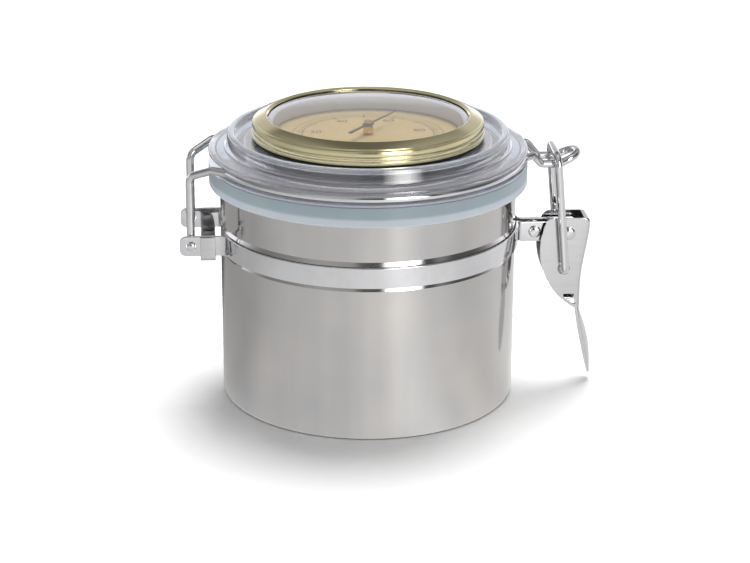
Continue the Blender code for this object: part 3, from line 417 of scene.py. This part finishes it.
# Each half band is the strip's section carried round a circle and out along both lugs. The lugs'
# corners are cut back by a circle, and the S curve brings the clasp's lug down to its pin.
for name, node, side in (("front_band", "front_half_band", -1), ("rear_band", "rear_half_band", 1)):
    first, last = math.asin(clasp_lug_y / strap_mid), math.pi - math.asin(hinge_lug_y / strap_mid)
    turn = np.linspace(first + bend_room * clasp_bend / strap_mid,
                       last - bend_room * hinge_bend / strap_mid, 150)
    turn = np.concatenate([[first], turn, [last]])
    ring = np.stack([strap_mid * np.cos(turn), strap_mid * np.sin(turn), 0 * turn], 1)
    ring[0, 2], ring[-1, 2] = clasp_bend, hinge_bend
    ends = [[(clasp_x + lug_past_pin, clasp_lug_y, 0)], [(hinge_x - lug_past_pin, hinge_lug_y, 0)]]
    line = eased(np.vstack([ends[0], ring, ends[1]]), runs=12)
    tips = lug_corner * (1 - np.cos(np.linspace(0, math.pi / 2, 9)))[:, None] * (1, 0)
    line = np.vstack([line[0] - tips, line[1:-1], (line[-1] + tips)[::-1]])
    high = (strap_high - strap_low) / 2
    points = carried(line, strip(strap_thick, high, 0.0003))
    from_tip = np.minimum(line[0, 0] - line[:, 0], line[:, 0] - line[-1, 0])
    cut_back = lug_corner - np.sqrt(lug_corner**2 - (lug_corner - np.clip(from_tip, 0, lug_corner)) ** 2)
    drop = (pin_z - clasp_z) * smooth((line[:, 0] - strap_mid + clasp_bend) / (2 * clasp_bend))
    points[..., 2] = pin_z - drop[:, None] + points[..., 2] * (1 - cut_back / high)[:, None]
    points[..., 1] *= side
    holes = [rod(wire_hole_r, through_lug, (hinge_x, side * hinge_lug_y, pin_z)),
             rod(pin_hole_r, through_lug, (clasp_x, side * clasp_lug_y, clasp_z)),
             rod(rivet_hole_r, through_lug, (rivet_x, side * clasp_lug_y, clasp_z))]
    finish(name, points, capped(*points.shape[:2]), plated, "canister", stands_for=[node],
           slot="bright_plated_steel", carve=holes)

# Hinge clip: a short channel folded from the same plated strip. Its base passes under the two
# hinge lugs, and its plates stand outside them and hold them together.
clip_wide, clip_thick = 0.0050, 0.0008
clip_x, clip_y = -0.0544, 0.0163
clip_low, clip_top, clip_bend = 0.0522, 0.0600, 0.0012
# Satin nickel is brushed before plating: level lines about 1 mm apart blur its reflections.
satin, tree, shader = material("satin_nickel_plated_steel", Metallic=1.0, Roughness=0.15)
skin(tree, shader, blotches(tree, (16.667, 16.667, 1.1111)), "C8C8C8", "D3D3D4", haze=(0.11, 0.19))
clip_line = eased([(clip_y, clip_top, 0), (clip_y, clip_low, clip_bend), (-clip_y, clip_low, clip_bend),
                   (-clip_y, clip_top, 0)], runs=10)
clip = carried(clip_line, strip(clip_thick, clip_wide / 2, 0.0002))
clip = np.stack([clip_x + clip[..., 2], clip[..., 0], clip[..., 1]], -1)
finish("folded_clip", clip, capped(*clip.shape[:2]), satin, "canister", stands_for=["hinge_clip"],
       slot="bright_plated_steel")

# Clasp pins: a domed rivet with its tube holds the two lugs apart, and the lever turns on a
# second pin, with a shoulder between each lug and cheek. Both are turned steel, plated bright.
head_high, under_head = 0.0008, 0.0001
pin_play = 0.0003
lug_out = clasp_lug_y + strap_thick / 2
cheek_y, sheet = 0.0052, 0.0008


def headed(half_length, radius, head_r, shoulder=()):
    """A pin's profile, its two halves alike: the head is head_r sin t wide and head_high cos(t)^0.8
    high, and the shaft and its shoulder follow."""
    t = np.linspace(0, math.pi / 2, 9)
    head = np.stack([head_r * np.sin(t), half_length + head_high * np.cos(t) ** 0.8], 1)
    foot = half_length - under_head
    side = np.vstack([head, [(head_r, foot), (radius, foot), *shoulder]])
    return np.vstack([side, (side * (1, -1))[::-1]])


turned("domed_rivet", headed(lug_out + pin_play, 0.0014, 0.0021), plated, "canister", closed=False, rings=64,
       lies_at=(rivet_x, 0, clasp_z), stands_for=["clasp_rivet"], slot="bright_plated_steel")
tube_half = clasp_lug_y - strap_thick / 2 - pin_play
tube = eased([(0.0017, tube_half, 0.0001), (0.0025, tube_half, 0.0001), (0.0025, -tube_half, 0.0001),
              (0.0017, -tube_half, 0.0001)], closed=True, runs=3)
turned("rivet_tube", tube, plated, "canister", rings=64, lies_at=(rivet_x, 0, clasp_z),
       stands_for=["clasp_spacer"], slot="bright_plated_steel")
pin_r, shoulder_r = 0.0015, 0.0024
near_cheek, near_lug = cheek_y - sheet - pin_play, lug_out + pin_play
shoulder = [(pin_r, near_cheek), (shoulder_r, near_cheek), (shoulder_r, near_lug), (pin_r, near_lug)]
turned("shouldered_pin", headed(cheek_y + pin_play, pin_r, 0.0022, shoulder), plated, "canister",
       closed=False, rings=64, lies_at=(clasp_x, 0, clasp_z), stands_for=["lever_pin"],
       slot="bright_plated_steel")

# Lever: pressed from one sheet of steel, plated and left satin. The back and two cheeks make a
# channel round the pin, with a notch cut above the foot. The foot is folded in behind the notch,
# and the sheet runs on below as a dished finger tab.
lever_up, lever_down = 0.0052, -0.0271
near_bend, far_bend = 0.0018, 0.0014
channel_bend = 0.0012
up = np.concatenate([np.linspace(lever_down, lever_up - near_bend, 70),
                     lever_up - near_bend * (1 - np.sin(np.linspace(0, math.pi / 2, 13)[1:]))])


def corner(up, radius):
    """How far a rounded upper corner stands back at a height, by a circle."""
    return radius - np.sqrt(np.clip(radius**2 - np.clip(up - lever_up + radius, 0, radius) ** 2, 0, None))


# At each height the channel runs from its inner edge, an arc of a circle, to its back edge, which
# swells by the S curve. Its section is a U: two cheeks, each turned in by a quarter circle.
arc_r, arc_x, arc_z = 0.0248, 0.0152, -0.0057
back_x, back_swell, swell_from, swell_run = 0.0047, 0.0028, -0.0194, 0.0246
inner_edge = arc_x - np.sqrt(arc_r**2 - (up - arc_z) ** 2) + corner(up, near_bend)
back_edge = back_x + back_swell * smooth((up - swell_from) / swell_run) - corner(up, far_bend)
halves = []
for bend in (channel_bend, channel_bend - sheet):
    f, a = np.linspace(0, 1, 10)[:, None], np.linspace(0, math.pi / 2, 9)[1:, None]
    cheek = np.hstack([f, -channel_bend * f, 0 * f - (cheek_y - channel_bend + bend)])
    turn_in = np.hstack([1 + 0 * a, bend * np.sin(a) - channel_bend,
                         -(cheek_y - channel_bend) - bend * np.cos(a)])
    side = np.vstack([cheek, turn_in])
    halves.append(np.vstack([side, (side * (1, 1, -1))[::-1]]))
section = np.vstack([halves[0], halves[1][::-1]])
wide = (back_edge - inner_edge)[:, None]
lever_x = clasp_x + inner_edge[:, None] + wide * section[None, :, 0] + section[None, :, 1]
channel = np.dstack(np.broadcast_arrays(lever_x, section[None, :, 2], clasp_z + up[:, None]))
rows, columns = channel.shape[:2]
k = np.arange(columns // 2 - 1)
cap = np.column_stack([k, k + 1, columns - 2 - k, columns - 1 - k])
channel_faces = grid_faces(rows, columns, False, True) + cap.tolist() + (cap + (rows - 1) * columns).tolist()

# The tab is a leaf, s being the share of its length. Its width is an ellipse's, rounded off at the
# tip, it leans out by s to the power 1.4, and its dish is a parabola across and a half sine along.
leaf_long, leaf_in, leaf_half, leaf_lean, leaf_dish = 0.0262, 0.0020, 0.00525, 0.0049, 0.0021
widest_at, widest_run, tip_from = 0.42, 0.60, 0.94
leaf_half_thick = 0.45 * sheet
s = np.linspace(-leaf_in / leaf_long, 1, 61)[:, None]
across_leaf = np.linspace(-1, 1, 33)
loop = np.concatenate([across_leaf, across_leaf[-2:0:-1]])[None]
face = np.concatenate([np.ones(33), -np.ones(31)])[None]
half = leaf_half * np.sqrt(1 - ((s - widest_at) / widest_run) ** 2)
half = half * np.sqrt(np.clip(1 - (np.clip(s - tip_from, 0, None) / (1 - tip_from)) ** 2, 0.0, 1))
lean = leaf_lean * np.clip(s, 0, None) ** 1.4
dish = leaf_dish * (1 - loop**2) * np.sin(math.pi * np.clip(s, 0, 1))
edge = np.sqrt(np.clip(1 - loop**10, 0, 1))
leaf_x = clasp_x + back_x - sheet / 2 + lean + dish + face * edge * leaf_half_thick
leaf = np.dstack(np.broadcast_arrays(leaf_x, loop * half, clasp_z + lever_down - s * leaf_long))
notch = eased([(-0.0012, -0.0220, 0.0005), (0.0030, -0.0220, 0.0005), (0.00342, -0.0257, 0.0005),
               (0.002076, -0.0257, 0.0005), (-0.00141, -0.022814, 0.0005)], closed=True, runs=4)
through_lever = 0.008
notch_tool = np.stack([np.stack([clasp_x + notch[:, 0], 0 * notch[:, 0] + y, clasp_z + notch[:, 1]], 1)
                       for y in (-through_lever, through_lever)])
hole_x, hole_z, bail_hole_r = clasp_x - 0.0014, clasp_z - 0.0127, 0.0021
finish("pressed_lever", channel, channel_faces, satin, "lever", stands_for=["lever"], slot="brushed_steel",
       carve=[(leaf, capped(*leaf.shape[:2]), "UNION"), (notch_tool, capped(2, len(notch)), "DIFFERENCE"),
              rod(pin_hole_r, through_lever, (clasp_x, 0, clasp_z)),
              rod(bail_hole_r, through_lever, (hole_x, 0, hole_z))])
fold_thick = 0.0006
fold = eased([(clasp_x + 0.0039, clasp_z - 0.0205, 0), (clasp_x + 0.0030, clasp_z - 0.0240, 0.0020),
              (clasp_x - 0.0008, clasp_z - 0.0238, 0)], runs=12)
fold = carried(fold, strip(fold_thick, cheek_y - sheet, 0.0001, runs=2))[..., [0, 2, 1]]
finish("lever_foot_fold", fold, capped(*fold.shape[:2]), plated, "lever", slot="brushed_steel")

# Clamp bail: one piece of bright plated spring wire, its ends turned in through the lever's
# cheeks, its cross bar drawn over the nose of the ring wire to pull the lid shut.
end_round = 0.0004


def bent_wire(name, corners, body, **facts):
    """A circle of wire_r carried along a bent line. Each station's frame is the last one's, laid
    square to the line again, so the wire doesn't twist. Over end_round at each end the circle
    shrinks to a point as the square root of 1 - (1 - depth)^2."""
    line = eased(corners, runs=12)
    run = np.gradient(line, axis=0)
    run /= np.linalg.norm(run, axis=1)[:, None]
    sideways = [np.cross(run[0], (0.3, 0.2, 0.9))]
    for heading in run:
        new = sideways[-1] - (sideways[-1] @ heading) * heading
        sideways.append(new / np.linalg.norm(new))
    sideways = np.array(sideways[1:])
    depth = np.sin(np.linspace(0, math.pi / 2, 6))[:, None]
    first = line[0] + run[0] * end_round * depth
    last = line[-1] - run[-1] * end_round * depth
    grown = np.sqrt(1 - (1 - depth) ** 2)
    size = np.vstack([grown, np.ones((len(line) - 2, 1)), grown[::-1]])
    line = np.vstack([first, line[1:-1], last[::-1]])
    times = np.ones(len(run), int)
    times[[0, -1]] = len(depth)
    run, sideways = np.repeat(run, times, 0), np.repeat(sideways, times, 0)
    a = np.linspace(0, 2 * math.pi, 24, endpoint=False)[None, :, None]
    upward = np.cross(run, sideways)
    ring = np.cos(a) * sideways[:, None] + np.sin(a) * upward[:, None]
    points = line[:, None] + wire_r * size[:, None] * ring
    return finish(name, points, capped(*points.shape[:2]), plated, body, slot="bright_plated_steel", **facts)


bail_y, bail_top_x, bail_top_z = 0.0093, 0.0632, 0.0836
bail_half = [(hole_x, -0.0038, hole_z, 0), (hole_x, -bail_y, hole_z, 0.0020),
             (bail_top_x, -bail_y, bail_top_z, 0.0035)]
bent_wire("sprung_bail", bail_half + [(x, -y, z, r) for x, y, z, r in bail_half[::-1]], "clamp_bail",
          stands_for=["clamp_bail"])

# Ring wire: one length of the same wire. It pins through both hinge lugs, rises as two legs,
# lies in the groove round the lid and ends in a nose that the bail pulls down.
ring_r, ring_z = 0.05235, 0.0840
leg_y, pin_end_y, leg_below_ring = 0.0130, 0.0168, 0.0036
away_run = 0.0063
nose_y, nose_z = 0.0050, 0.0802
out_at, in_at, clear_of = math.radians(25), math.radians(12), math.radians(7.5)
leave = np.array([-ring_r * math.cos(out_at), -ring_r * math.sin(out_at), ring_z])
leg_top = np.array([hinge_x, -leg_y, ring_z - leg_below_ring])
away = (leg_top - leave) * (1, 1, 0)
away = leave + away / np.linalg.norm(away) * away_run
a = np.linspace(math.pi + out_at + clear_of, 2 * math.pi - in_at - clear_of, 120)
in_groove = np.stack([ring_r * np.cos(a), ring_r * np.sin(a), ring_z + 0 * a, 0 * a], 1)
neck_r, neck_at = 0.05555, math.radians(7.7)
ring_half = [(hinge_x, -pin_end_y, pin_z, 0), (hinge_x, -leg_y, pin_z, 0.0020), (*leg_top, 0.0035),
             (*away, 0.0035), (*leave, 0.0050), *in_groove.tolist(),
             (ring_r * math.cos(in_at), -ring_r * math.sin(in_at), ring_z, 0.0050),
             (neck_r * math.cos(neck_at), -neck_r * math.sin(neck_at), ring_z, 0.0020),
             (0.0582, -nose_y, nose_z, 0.0020), (0.0644, -nose_y, nose_z, 0.0050),
             (0.0708, -nose_y, nose_z + 0.0030, 0.0044)]
bent_wire("bent_ring_wire", ring_half + [(x, -y, z, r) for x, y, z, r in ring_half[::-1]], "lid_assembly",
          stands_for=["lid_wire"])

# Lid: moulded in one piece of clear acrylic with a raised ridge, a groove for the wire and a
# skirt that centres it in the cup. Its lowest edge, on the gasket, is left frosted.
lid_line = [(0.0348, 0.0894, 0.0003), (0.0449, 0.0894, 0.0008), (0.0449, 0.0920, 0.0006),
            (0.0471, 0.0920, 0.0008), (0.0480, 0.0869, 0.0008), (0.0537, 0.0869, 0.0009),
            (0.0537, 0.08565, 0.0003), (0.0507, 0.08565, 0.0008), (0.0507, 0.08235, 0.0008),
            (0.0537, 0.08235, 0.0003), (0.0537, 0.0815, 0.0003), (0.0449, 0.0815, 0.0003),
            (0.0449, 0.0759, 0.0006), (0.0421, 0.0759, 0.0006), (0.0421, 0.0862, 0.0008),
            (0.0372, 0.0862, 0.0008), (0.0372, 0.0822, 0.0004), (0.0348, 0.0822, 0.0003)]
# Acrylic from polished tools is glossy with a faint lavender cast. Flow marks of 11 mm and rings of
# 1.4 mm from the turned tool bend what shows through it.
acrylic, tree, shader = material("moulded_clear_acrylic", Roughness=0.03, IOR=1.49, Transmission_Weight=0.90,
                                 Coat_Weight=0.8, Coat_Roughness=0.02)
flow = blotches(tree, 11.111, detail=2.0)
skin(tree, shader, flow, "ECECF5", "F6F6FA")
rings_per_metre = 700.0
lathe = add(tree, "ShaderNodeVectorMath", [add(tree, "ShaderNodeCombineXYZ", polar(tree)),
                                           (rings_per_metre, 1.0, rings_per_metre)], operation="MULTIPLY")
rings = add(tree, "ShaderNodeTexNoise", {"Vector": lathe, "Scale": 1.0, "Detail": 2.0})
marks = add(tree, "ShaderNodeMath", [rings, 0.5, flow], operation="MULTIPLY_ADD")
waves = add(tree, "ShaderNodeBump", {"Height": marks, "Strength": 0.20, "Distance": 0.0002})
tree.links.new(waves, shader.inputs["Normal"])
lid = turned("moulded_lid", eased(lid_line, closed=True, runs=6), acrylic, "lid_assembly",
             stands_for=["lid"], slot="clear_plastic")
lid.visible_shadow = False
# A blasted tool leaves the edge frosted with 2 mm of soft, bluish mottling.
frosted, tree, shader = material("satin_moulded_acrylic_edge", Roughness=0.32, IOR=1.49,
                                 Transmission_Weight=0.45)
skin(tree, shader, blotches(tree, 2.0), "D4D8E4", "E8EAF2")
frost_beyond, frost_below = 0.0508, 0.0830
centres = np.zeros(3 * len(lid.data.polygons), np.float32)
lid.data.polygons.foreach_get("center", centres)
centres = centres.reshape(-1, 3)
on_edge = (np.hypot(centres[:, 0], centres[:, 1]) > frost_beyond) & (centres[:, 2] < frost_below)
lid.data.materials.append(frosted)
lid.data.polygons.foreach_set("material_index", on_edge.astype(np.int32))

# Gasket: a thick washer of pale blue silicone with a thin skirt round the rolled rim. It is milky,
# so light soaks into it. The skirt's paler colour is painted light, as if lit through its thin wall,
# and the washer keeps the darker tone. Its moulded skin is half matt.
gasket_line = [(0.0452, 0.0814, 0.0004), (0.0537, 0.0814, 0.0003), (0.0537, 0.0748, 0.0004),
               (0.0527, 0.0748, 0.0004), (0.0527, 0.0774, 0.0002), (0.0452, 0.0774, 0.0004)]
skirt_from, skirt_to = 0.0780, 0.0768
silicone, tree, shader = material("pale_blue_silicone_rubber", Roughness=0.38, IOR=1.41, Coat_Weight=0.15,
                                  Coat_Roughness=0.2, Subsurface_Weight=0.35, Subsurface_Scale=0.003)
cloud = blotches(tree, 7.143)
radius, angle, height = polar(tree)
# Painted light: from 78 mm down the skirt is painted paler than the washer, as if lit through its thin wall.
skirt_painted_paler = add(tree, "ShaderNodeMapRange", [height, skirt_from, skirt_to], interpolation_type="SMOOTHSTEP")
milky = add(tree, "ShaderNodeMath", [cloud, 0.4, -0.2], operation="MULTIPLY_ADD")
skin(tree, shader, add(tree, "ShaderNodeMath", [skirt_painted_paler, milky], operation="ADD"), "A3B3BB", "CCD6DF")
soft = add(tree, "ShaderNodeBump", {"Height": cloud, "Strength": 0.10, "Distance": 0.0002})
tree.links.new(soft, shader.inputs["Normal"])
turned("silicone_gasket", eased(gasket_line, closed=True, runs=5), silicone, "lid_assembly",
       stands_for=["lid_gasket"], slot="pale_blue_silicone")

# Hygrometer case: a black moulded ABS cup pushed up through the lid, with eight vents in its
# floor that let the canister's air reach the coil. Spark marks of 0.7 mm make it half matt.
case_line = [(0.0, 0.0728, 0), (0.0337, 0.0728, 0.0005), (0.0337, 0.0872, 0.0002),
             (0.0318, 0.0880, 0.0002), (0.0318, 0.0888, 0.0002), (0.0337, 0.0888, 0.0002),
             (0.0337, 0.0930, 0.0002), (0.0345, 0.0930, 0.0002), (0.0345, 0.0720, 0.0008), (0.0, 0.0720, 0)]
vent_count, vents_at, vent_r = 8, 0.0210, 0.0022
vent_low, vent_high, vent_sides = 0.0700, 0.0740, 40
black, tree, shader = material("moulded_black_abs", Roughness=0.45)
skin(tree, shader, blotches(tree, 0.6667), "17171A", "222226", relief=(0.15, 0.0001))
vents = []
for turn in (np.arange(vent_count) + 0.5) * 2 * math.pi / vent_count:
    a = np.linspace(0, 2 * math.pi, vent_sides, endpoint=False)
    ring = np.stack([vents_at * math.cos(turn) + vent_r * np.cos(a),
                     vents_at * math.sin(turn) + vent_r * np.sin(a)], 1)
    vent = np.stack([np.hstack([ring, 0 * ring[:, :1] + z]) for z in (vent_low, vent_high)])
    vents.append((vent, capped(2, vent_sides), "DIFFERENCE"))
turned("moulded_case", eased(case_line, runs=4), black, "lid_assembly", closed=False, rings=192,
       stands_for=["hygrometer_case"], slot="black_case", carve=vents)

# Dial: a disc of thin aluminium, lacquered beige with a satin finish. The scale is printed in
# brown: two arcs over three quarters of the circle, a line for each per cent, a long one for ten.
dial_r, dial_low, dial_top, arbor_hole_r = 0.0334, 0.0891, 0.0895, 0.0011
scale_from, scale_turn, per_cent = math.radians(225), math.radians(270.3), math.radians(2.7)
arc_radii, arc_half_line = (0.0221, 0.0254), 0.00013
beige, tree, shader = material("beige_lacquered_aluminium", Roughness=0.42, Metallic=0.25, Coat_Weight=0.2,
                               Coat_Roughness=0.3)
lacquer = add(tree, "ShaderNodeMix", {"Factor": blotches(tree, 2.381), "A": linear("C0A870"),
                                      "B": linear("CAB37E")}, "Result", data_type="RGBA")
radius, angle, height = polar(tree)
turned_by = add(tree, "ShaderNodeMath", [scale_from, angle], operation="SUBTRACT")
turned_by = add(tree, "ShaderNodeMath", [turned_by, 2 * math.pi, 0.0], operation="WRAP")
# Off is the way round the circle to the nearest line, so every line keeps its width.
ink = 0.0
for spacing, half_line, low, high in ((per_cent, 0.00011, 0.0221, 0.0240),
                                      (10 * per_cent, 0.00024, 0.0209, 0.0243)):
    lines_past = add(tree, "ShaderNodeMath", [turned_by, spacing], operation="DIVIDE")
    off = add(tree, "ShaderNodeMath", [lines_past, 0.5], operation="PINGPONG")
    off = add(tree, "ShaderNodeMath", [off, spacing], operation="MULTIPLY")
    off = add(tree, "ShaderNodeMath", [off, radius], operation="MULTIPLY")
    mark = add(tree, "ShaderNodeMath", [off, half_line], operation="LESS_THAN")
    for edge, way in ((low, "GREATER_THAN"), (high, "LESS_THAN")):
        within = add(tree, "ShaderNodeMath", [radius, edge], operation=way)
        mark = add(tree, "ShaderNodeMath", [mark, within], operation="MULTIPLY")
    ink = add(tree, "ShaderNodeMath", [ink, mark], operation="MAXIMUM")
for arc_r in arc_radii:
    arc = add(tree, "ShaderNodeMath", [radius, arc_r, arc_half_line], operation="COMPARE")
    ink = add(tree, "ShaderNodeMath", [ink, arc], operation="MAXIMUM")
on_scale = add(tree, "ShaderNodeMath", [turned_by, scale_turn], operation="LESS_THAN")
ink = add(tree, "ShaderNodeMath", [ink, on_scale], operation="MULTIPLY")
printed = add(tree, "ShaderNodeMix", {"Factor": ink, "A": lacquer, "B": linear("4A3A26")}, "Result",
              data_type="RGBA")
tree.links.new(printed, shader.inputs["Base Color"])
dial_line = eased([(arbor_hole_r, dial_top, 0.0001), (dial_r, dial_top, 0.0001), (dial_r, dial_low, 0.0001),
                   (arbor_hole_r, dial_low, 0.0001)], closed=True, runs=2)
turned("lacquered_dial", dial_line, beige, "lid_assembly", stands_for=["dial_plate"], slot="beige_dial")

# Dial numbers: plain figures from 0 to 100 in steps of twenty, printed inside the scale in the
# same brown ink, which dries a little unevenly. They stand upright to someone facing the front.
figure_high, figures_at, ink_thick = 0.0042, 0.0178, 0.00001
brown, tree, shader = material("brown_printing_ink", Roughness=0.5)
skin(tree, shader, blotches(tree, 0.5, detail=2.0), "403220", "54432D")
number_points, number_faces = [], []
for count in range(0, 101, 20):
    text = bpy.data.curves.new("number", "FONT")
    text.body = str(count)
    text.size, text.extrude = figure_high, ink_thick
    text.align_x, text.align_y = "CENTER", "CENTER"
    shape = bpy.data.objects.new("number", text)
    bpy.context.collection.objects.link(shape)
    bpy.context.view_layer.update()
    flat = bpy.data.meshes.new_from_object(shape.evaluated_get(bpy.context.evaluated_depsgraph_get()))
    at = scale_from - count * per_cent
    spots = np.zeros(len(flat.vertices) * 3, np.float32)
    flat.vertices.foreach_get("co", spots)
    figure_at = (figures_at * math.cos(at), figures_at * math.sin(at), dial_top + 2 * ink_thick)
    spots = spots.reshape(-1, 3) + figure_at
    start = sum(len(p) for p in number_points)
    number_faces += [[start + v for v in face.vertices] for face in flat.polygons]
    number_points.append(spots)
    bpy.data.objects.remove(shape, do_unlink=True)
finish("dial_numbers", np.vstack(number_points), number_faces, brown, "lid_assembly", slot="beige_dial")

# Inner ring: a pale grey moulded polystyrene ring between dial and window that hides the edge of
# the case. Its satin face has a blue cast and a mottling under 2 mm.
grey, tree, shader = material("satin_grey_polystyrene", Roughness=0.35, Coat_Weight=0.25,
                              Coat_Roughness=0.15)
skin(tree, shader, blotches(tree, 1.6667, detail=2.0), "BDBEC8", "C9CAD2")
ring_line = [(0.0316, 0.0945, 0.0002), (0.0322, 0.0951, 0.0002), (0.0334, 0.0951, 0.0002),
             (0.0334, 0.0898, 0.0002), (0.0316, 0.0898, 0.0003)]
turned("moulded_inner_ring", eased(ring_line, closed=True, runs=3), grey, "lid_assembly",
       stands_for=["inner_ring"], slot="grey_inner_ring")

# Window: a low dome of clear moulded polystyrene with a flat rim, held down by the lip of the
# bezel. It is so clear that only its gloss and the rim's edge show.
window_r, window_in_r, window_top, window_low = 0.0345, 0.0323, 0.0964, 0.0954
dome_r, dome_high = 0.0335, 0.0022
window, tree, shader = material("clear_polystyrene_window", Roughness=0.02, IOR=1.55,
                                Transmission_Weight=1.0)
skin(tree, shader, blotches(tree, 16.667, detail=2.0), "F6F6FA", "FCFCFD")
# Each face of the dome is a parabola: its rise falls off by the square of the way out.
out_to = np.linspace(0, 1, 40)[:, None]
upper = np.hstack([dome_r * out_to, window_top + dome_high * (1 - out_to**2)])
lower = np.hstack([window_in_r * out_to, window_low + dome_high * (1 - out_to**2)])
rim = eased([(dome_r, window_top, 0), (window_r, window_top, 0.0002), (window_r, window_low, 0.0002),
             (window_in_r, window_low, 0)], runs=3)
dome = turned("domed_window", np.vstack([upper, rim[1:-1], lower[::-1]]), window, "lid_assembly",
              closed=False, stands_for=["crystal"], slot="window_plastic")
dome.visible_shadow = False

# Bezel: spun from thin brass and lacquered a pale gold, with level spinning lines under half a
# millimetre apart. A lip holds the window, the face slopes down to a groove, and the skirt below
# has three bands with fine grooves between them.
brass, tree, shader = material("lacquered_pale_brass", Metallic=1.0, Roughness=0.12, Coat_Weight=0.3,
                               Coat_Roughness=0.05)
skin(tree, shader, blotches(tree, (166.67, 166.67, 0.38462), detail=2.0), "D0C69C", "DED5AC",
     haze=(0.09, 0.17))
bezel_line = [(0.0335, 0.0968, 0.0002), (0.0342, 0.0976, 0.0005), (0.0382, 0.0959, 0.0002),
              (0.0380, 0.0956, 0.00015), (0.03872, 0.0953, 0.0002), (0.0389, 0.0937, 0.0002),
              (0.0387, 0.0935, 0.00015), (0.0389, 0.0933, 0.0002), (0.0390, 0.0922, 0.0002),
              (0.0388, 0.0920, 0.00015), (0.0391, 0.0918, 0.0002), (0.0392, 0.0905, 0.0006),
              (0.0348, 0.0905, 0.0002), (0.0348, 0.0967, 0.0001), (0.0335, 0.0967, 0.00005)]
turned("spun_bezel", eased(bezel_line, closed=True, runs=6), brass, "lid_assembly",
       stands_for=["hygrometer_bezel"], slot="pale_polished_brass")

# Bezel seal: a flat ring punched from black rubber sheet, squeezed between bezel and lid. Dust
# leaves it dull and a little uneven.
rubber, tree, shader = material("punched_black_rubber", Roughness=0.6)
skin(tree, shader, blotches(tree, 1.1111), "121212", "1F1F20")
seal_line = eased([(0.0348, 0.0902, 0.0001), (0.0386, 0.0902, 0.0002), (0.0386, 0.0897, 0.0002),
                   (0.0348, 0.0897, 0.0001)], closed=True, runs=3)
turned("rubber_seal", seal_line, rubber, "lid_assembly", stands_for=["bezel_seal"], slot="black_rubber")

# Movement: a brass bridge and arbor under the dial, and a copper coil that winds and unwinds as
# the air dries. They sit in the case where only the vents show them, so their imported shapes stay.
gold, tree, shader = material("turned_yellow_brass", Metallic=1.0, Roughness=0.22)
skin(tree, shader, blotches(tree, 1.4286, detail=2.0), "D9B24E", "E6C469")
copper, tree, shader = material("rolled_copper_strip", Metallic=1.0, Roughness=0.30)
skin(tree, shader, blotches(tree, 2.0), "B8754F", "CF8D66")
for node, look in (("movement_bridge", gold), ("arbor", gold), ("hygro_coil", copper)):
    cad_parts[node].data.materials.clear()
    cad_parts[node].data.materials.append(look)

# Pointer: a thin steel blade lacquered dark, wide at the middle, on a small brass hub and under
# a domed brass cap. It rests near sixty per cent.
hub_line = eased([(0.0011, 0.0924, 0.0001), (0.0016, 0.0924, 0.0002), (0.0018, 0.0898, 0.0001),
                  (0.0011, 0.0898, 0.0001)], closed=True, runs=3)
turned("turned_hub", hub_line, gold, "needle", rings=64, stands_for=["pointer_hub"], slot="yellow_brass")
cap_r, cap_low, cap_top, cap_dome = 0.0014, 0.0934, 0.0939, 0.0005
t = np.linspace(0, math.pi / 2, 9)[:, None]
cap_line = np.vstack([np.hstack([cap_r * np.sin(t), cap_top + cap_dome * np.cos(t)]),
                      [(cap_r, cap_low), (0.0, cap_low)]])
turned("domed_cap", cap_line, gold, "needle", closed=False, rings=64, stands_for=["pointer_cap"],
       slot="yellow_brass")
tail, tip = -0.0125, 0.0190
blade_turn, blade_top, blade_low = math.radians(57), 0.0931, 0.0927
dark_steel, tree, shader = material("dark_lacquered_needle_steel", Metallic=1.0, Roughness=0.35)
skin(tree, shader, blotches(tree, 1.25, detail=2.0), "74635C", "897670")
# The blade's half width runs straight between six places along it.
along = np.linspace(tail, tip, 80)[:, None]
half = np.interp(along, [tail, -0.0030, -0.0010, 0.0010, 0.0030, tip],
                 [0.0006, 0.0004, 0.0017, 0.0017, 0.0004, 0.00015])
loop = np.concatenate([np.linspace(-1, 1, 9), np.linspace(1, -1, 9)])[None]
level_of = np.repeat([blade_top, blade_low], 9)[None]
blade_x = along * math.cos(blade_turn) - loop * half * math.sin(blade_turn)
blade_y = along * math.sin(blade_turn) + loop * half * math.cos(blade_turn)
blade = np.dstack(np.broadcast_arrays(blade_x, blade_y, level_of))
finish("pointer_blade", blade, capped(*blade.shape[:2]), dark_steel, "needle", stands_for=["pointer"],
       slot="dull_needle_steel")
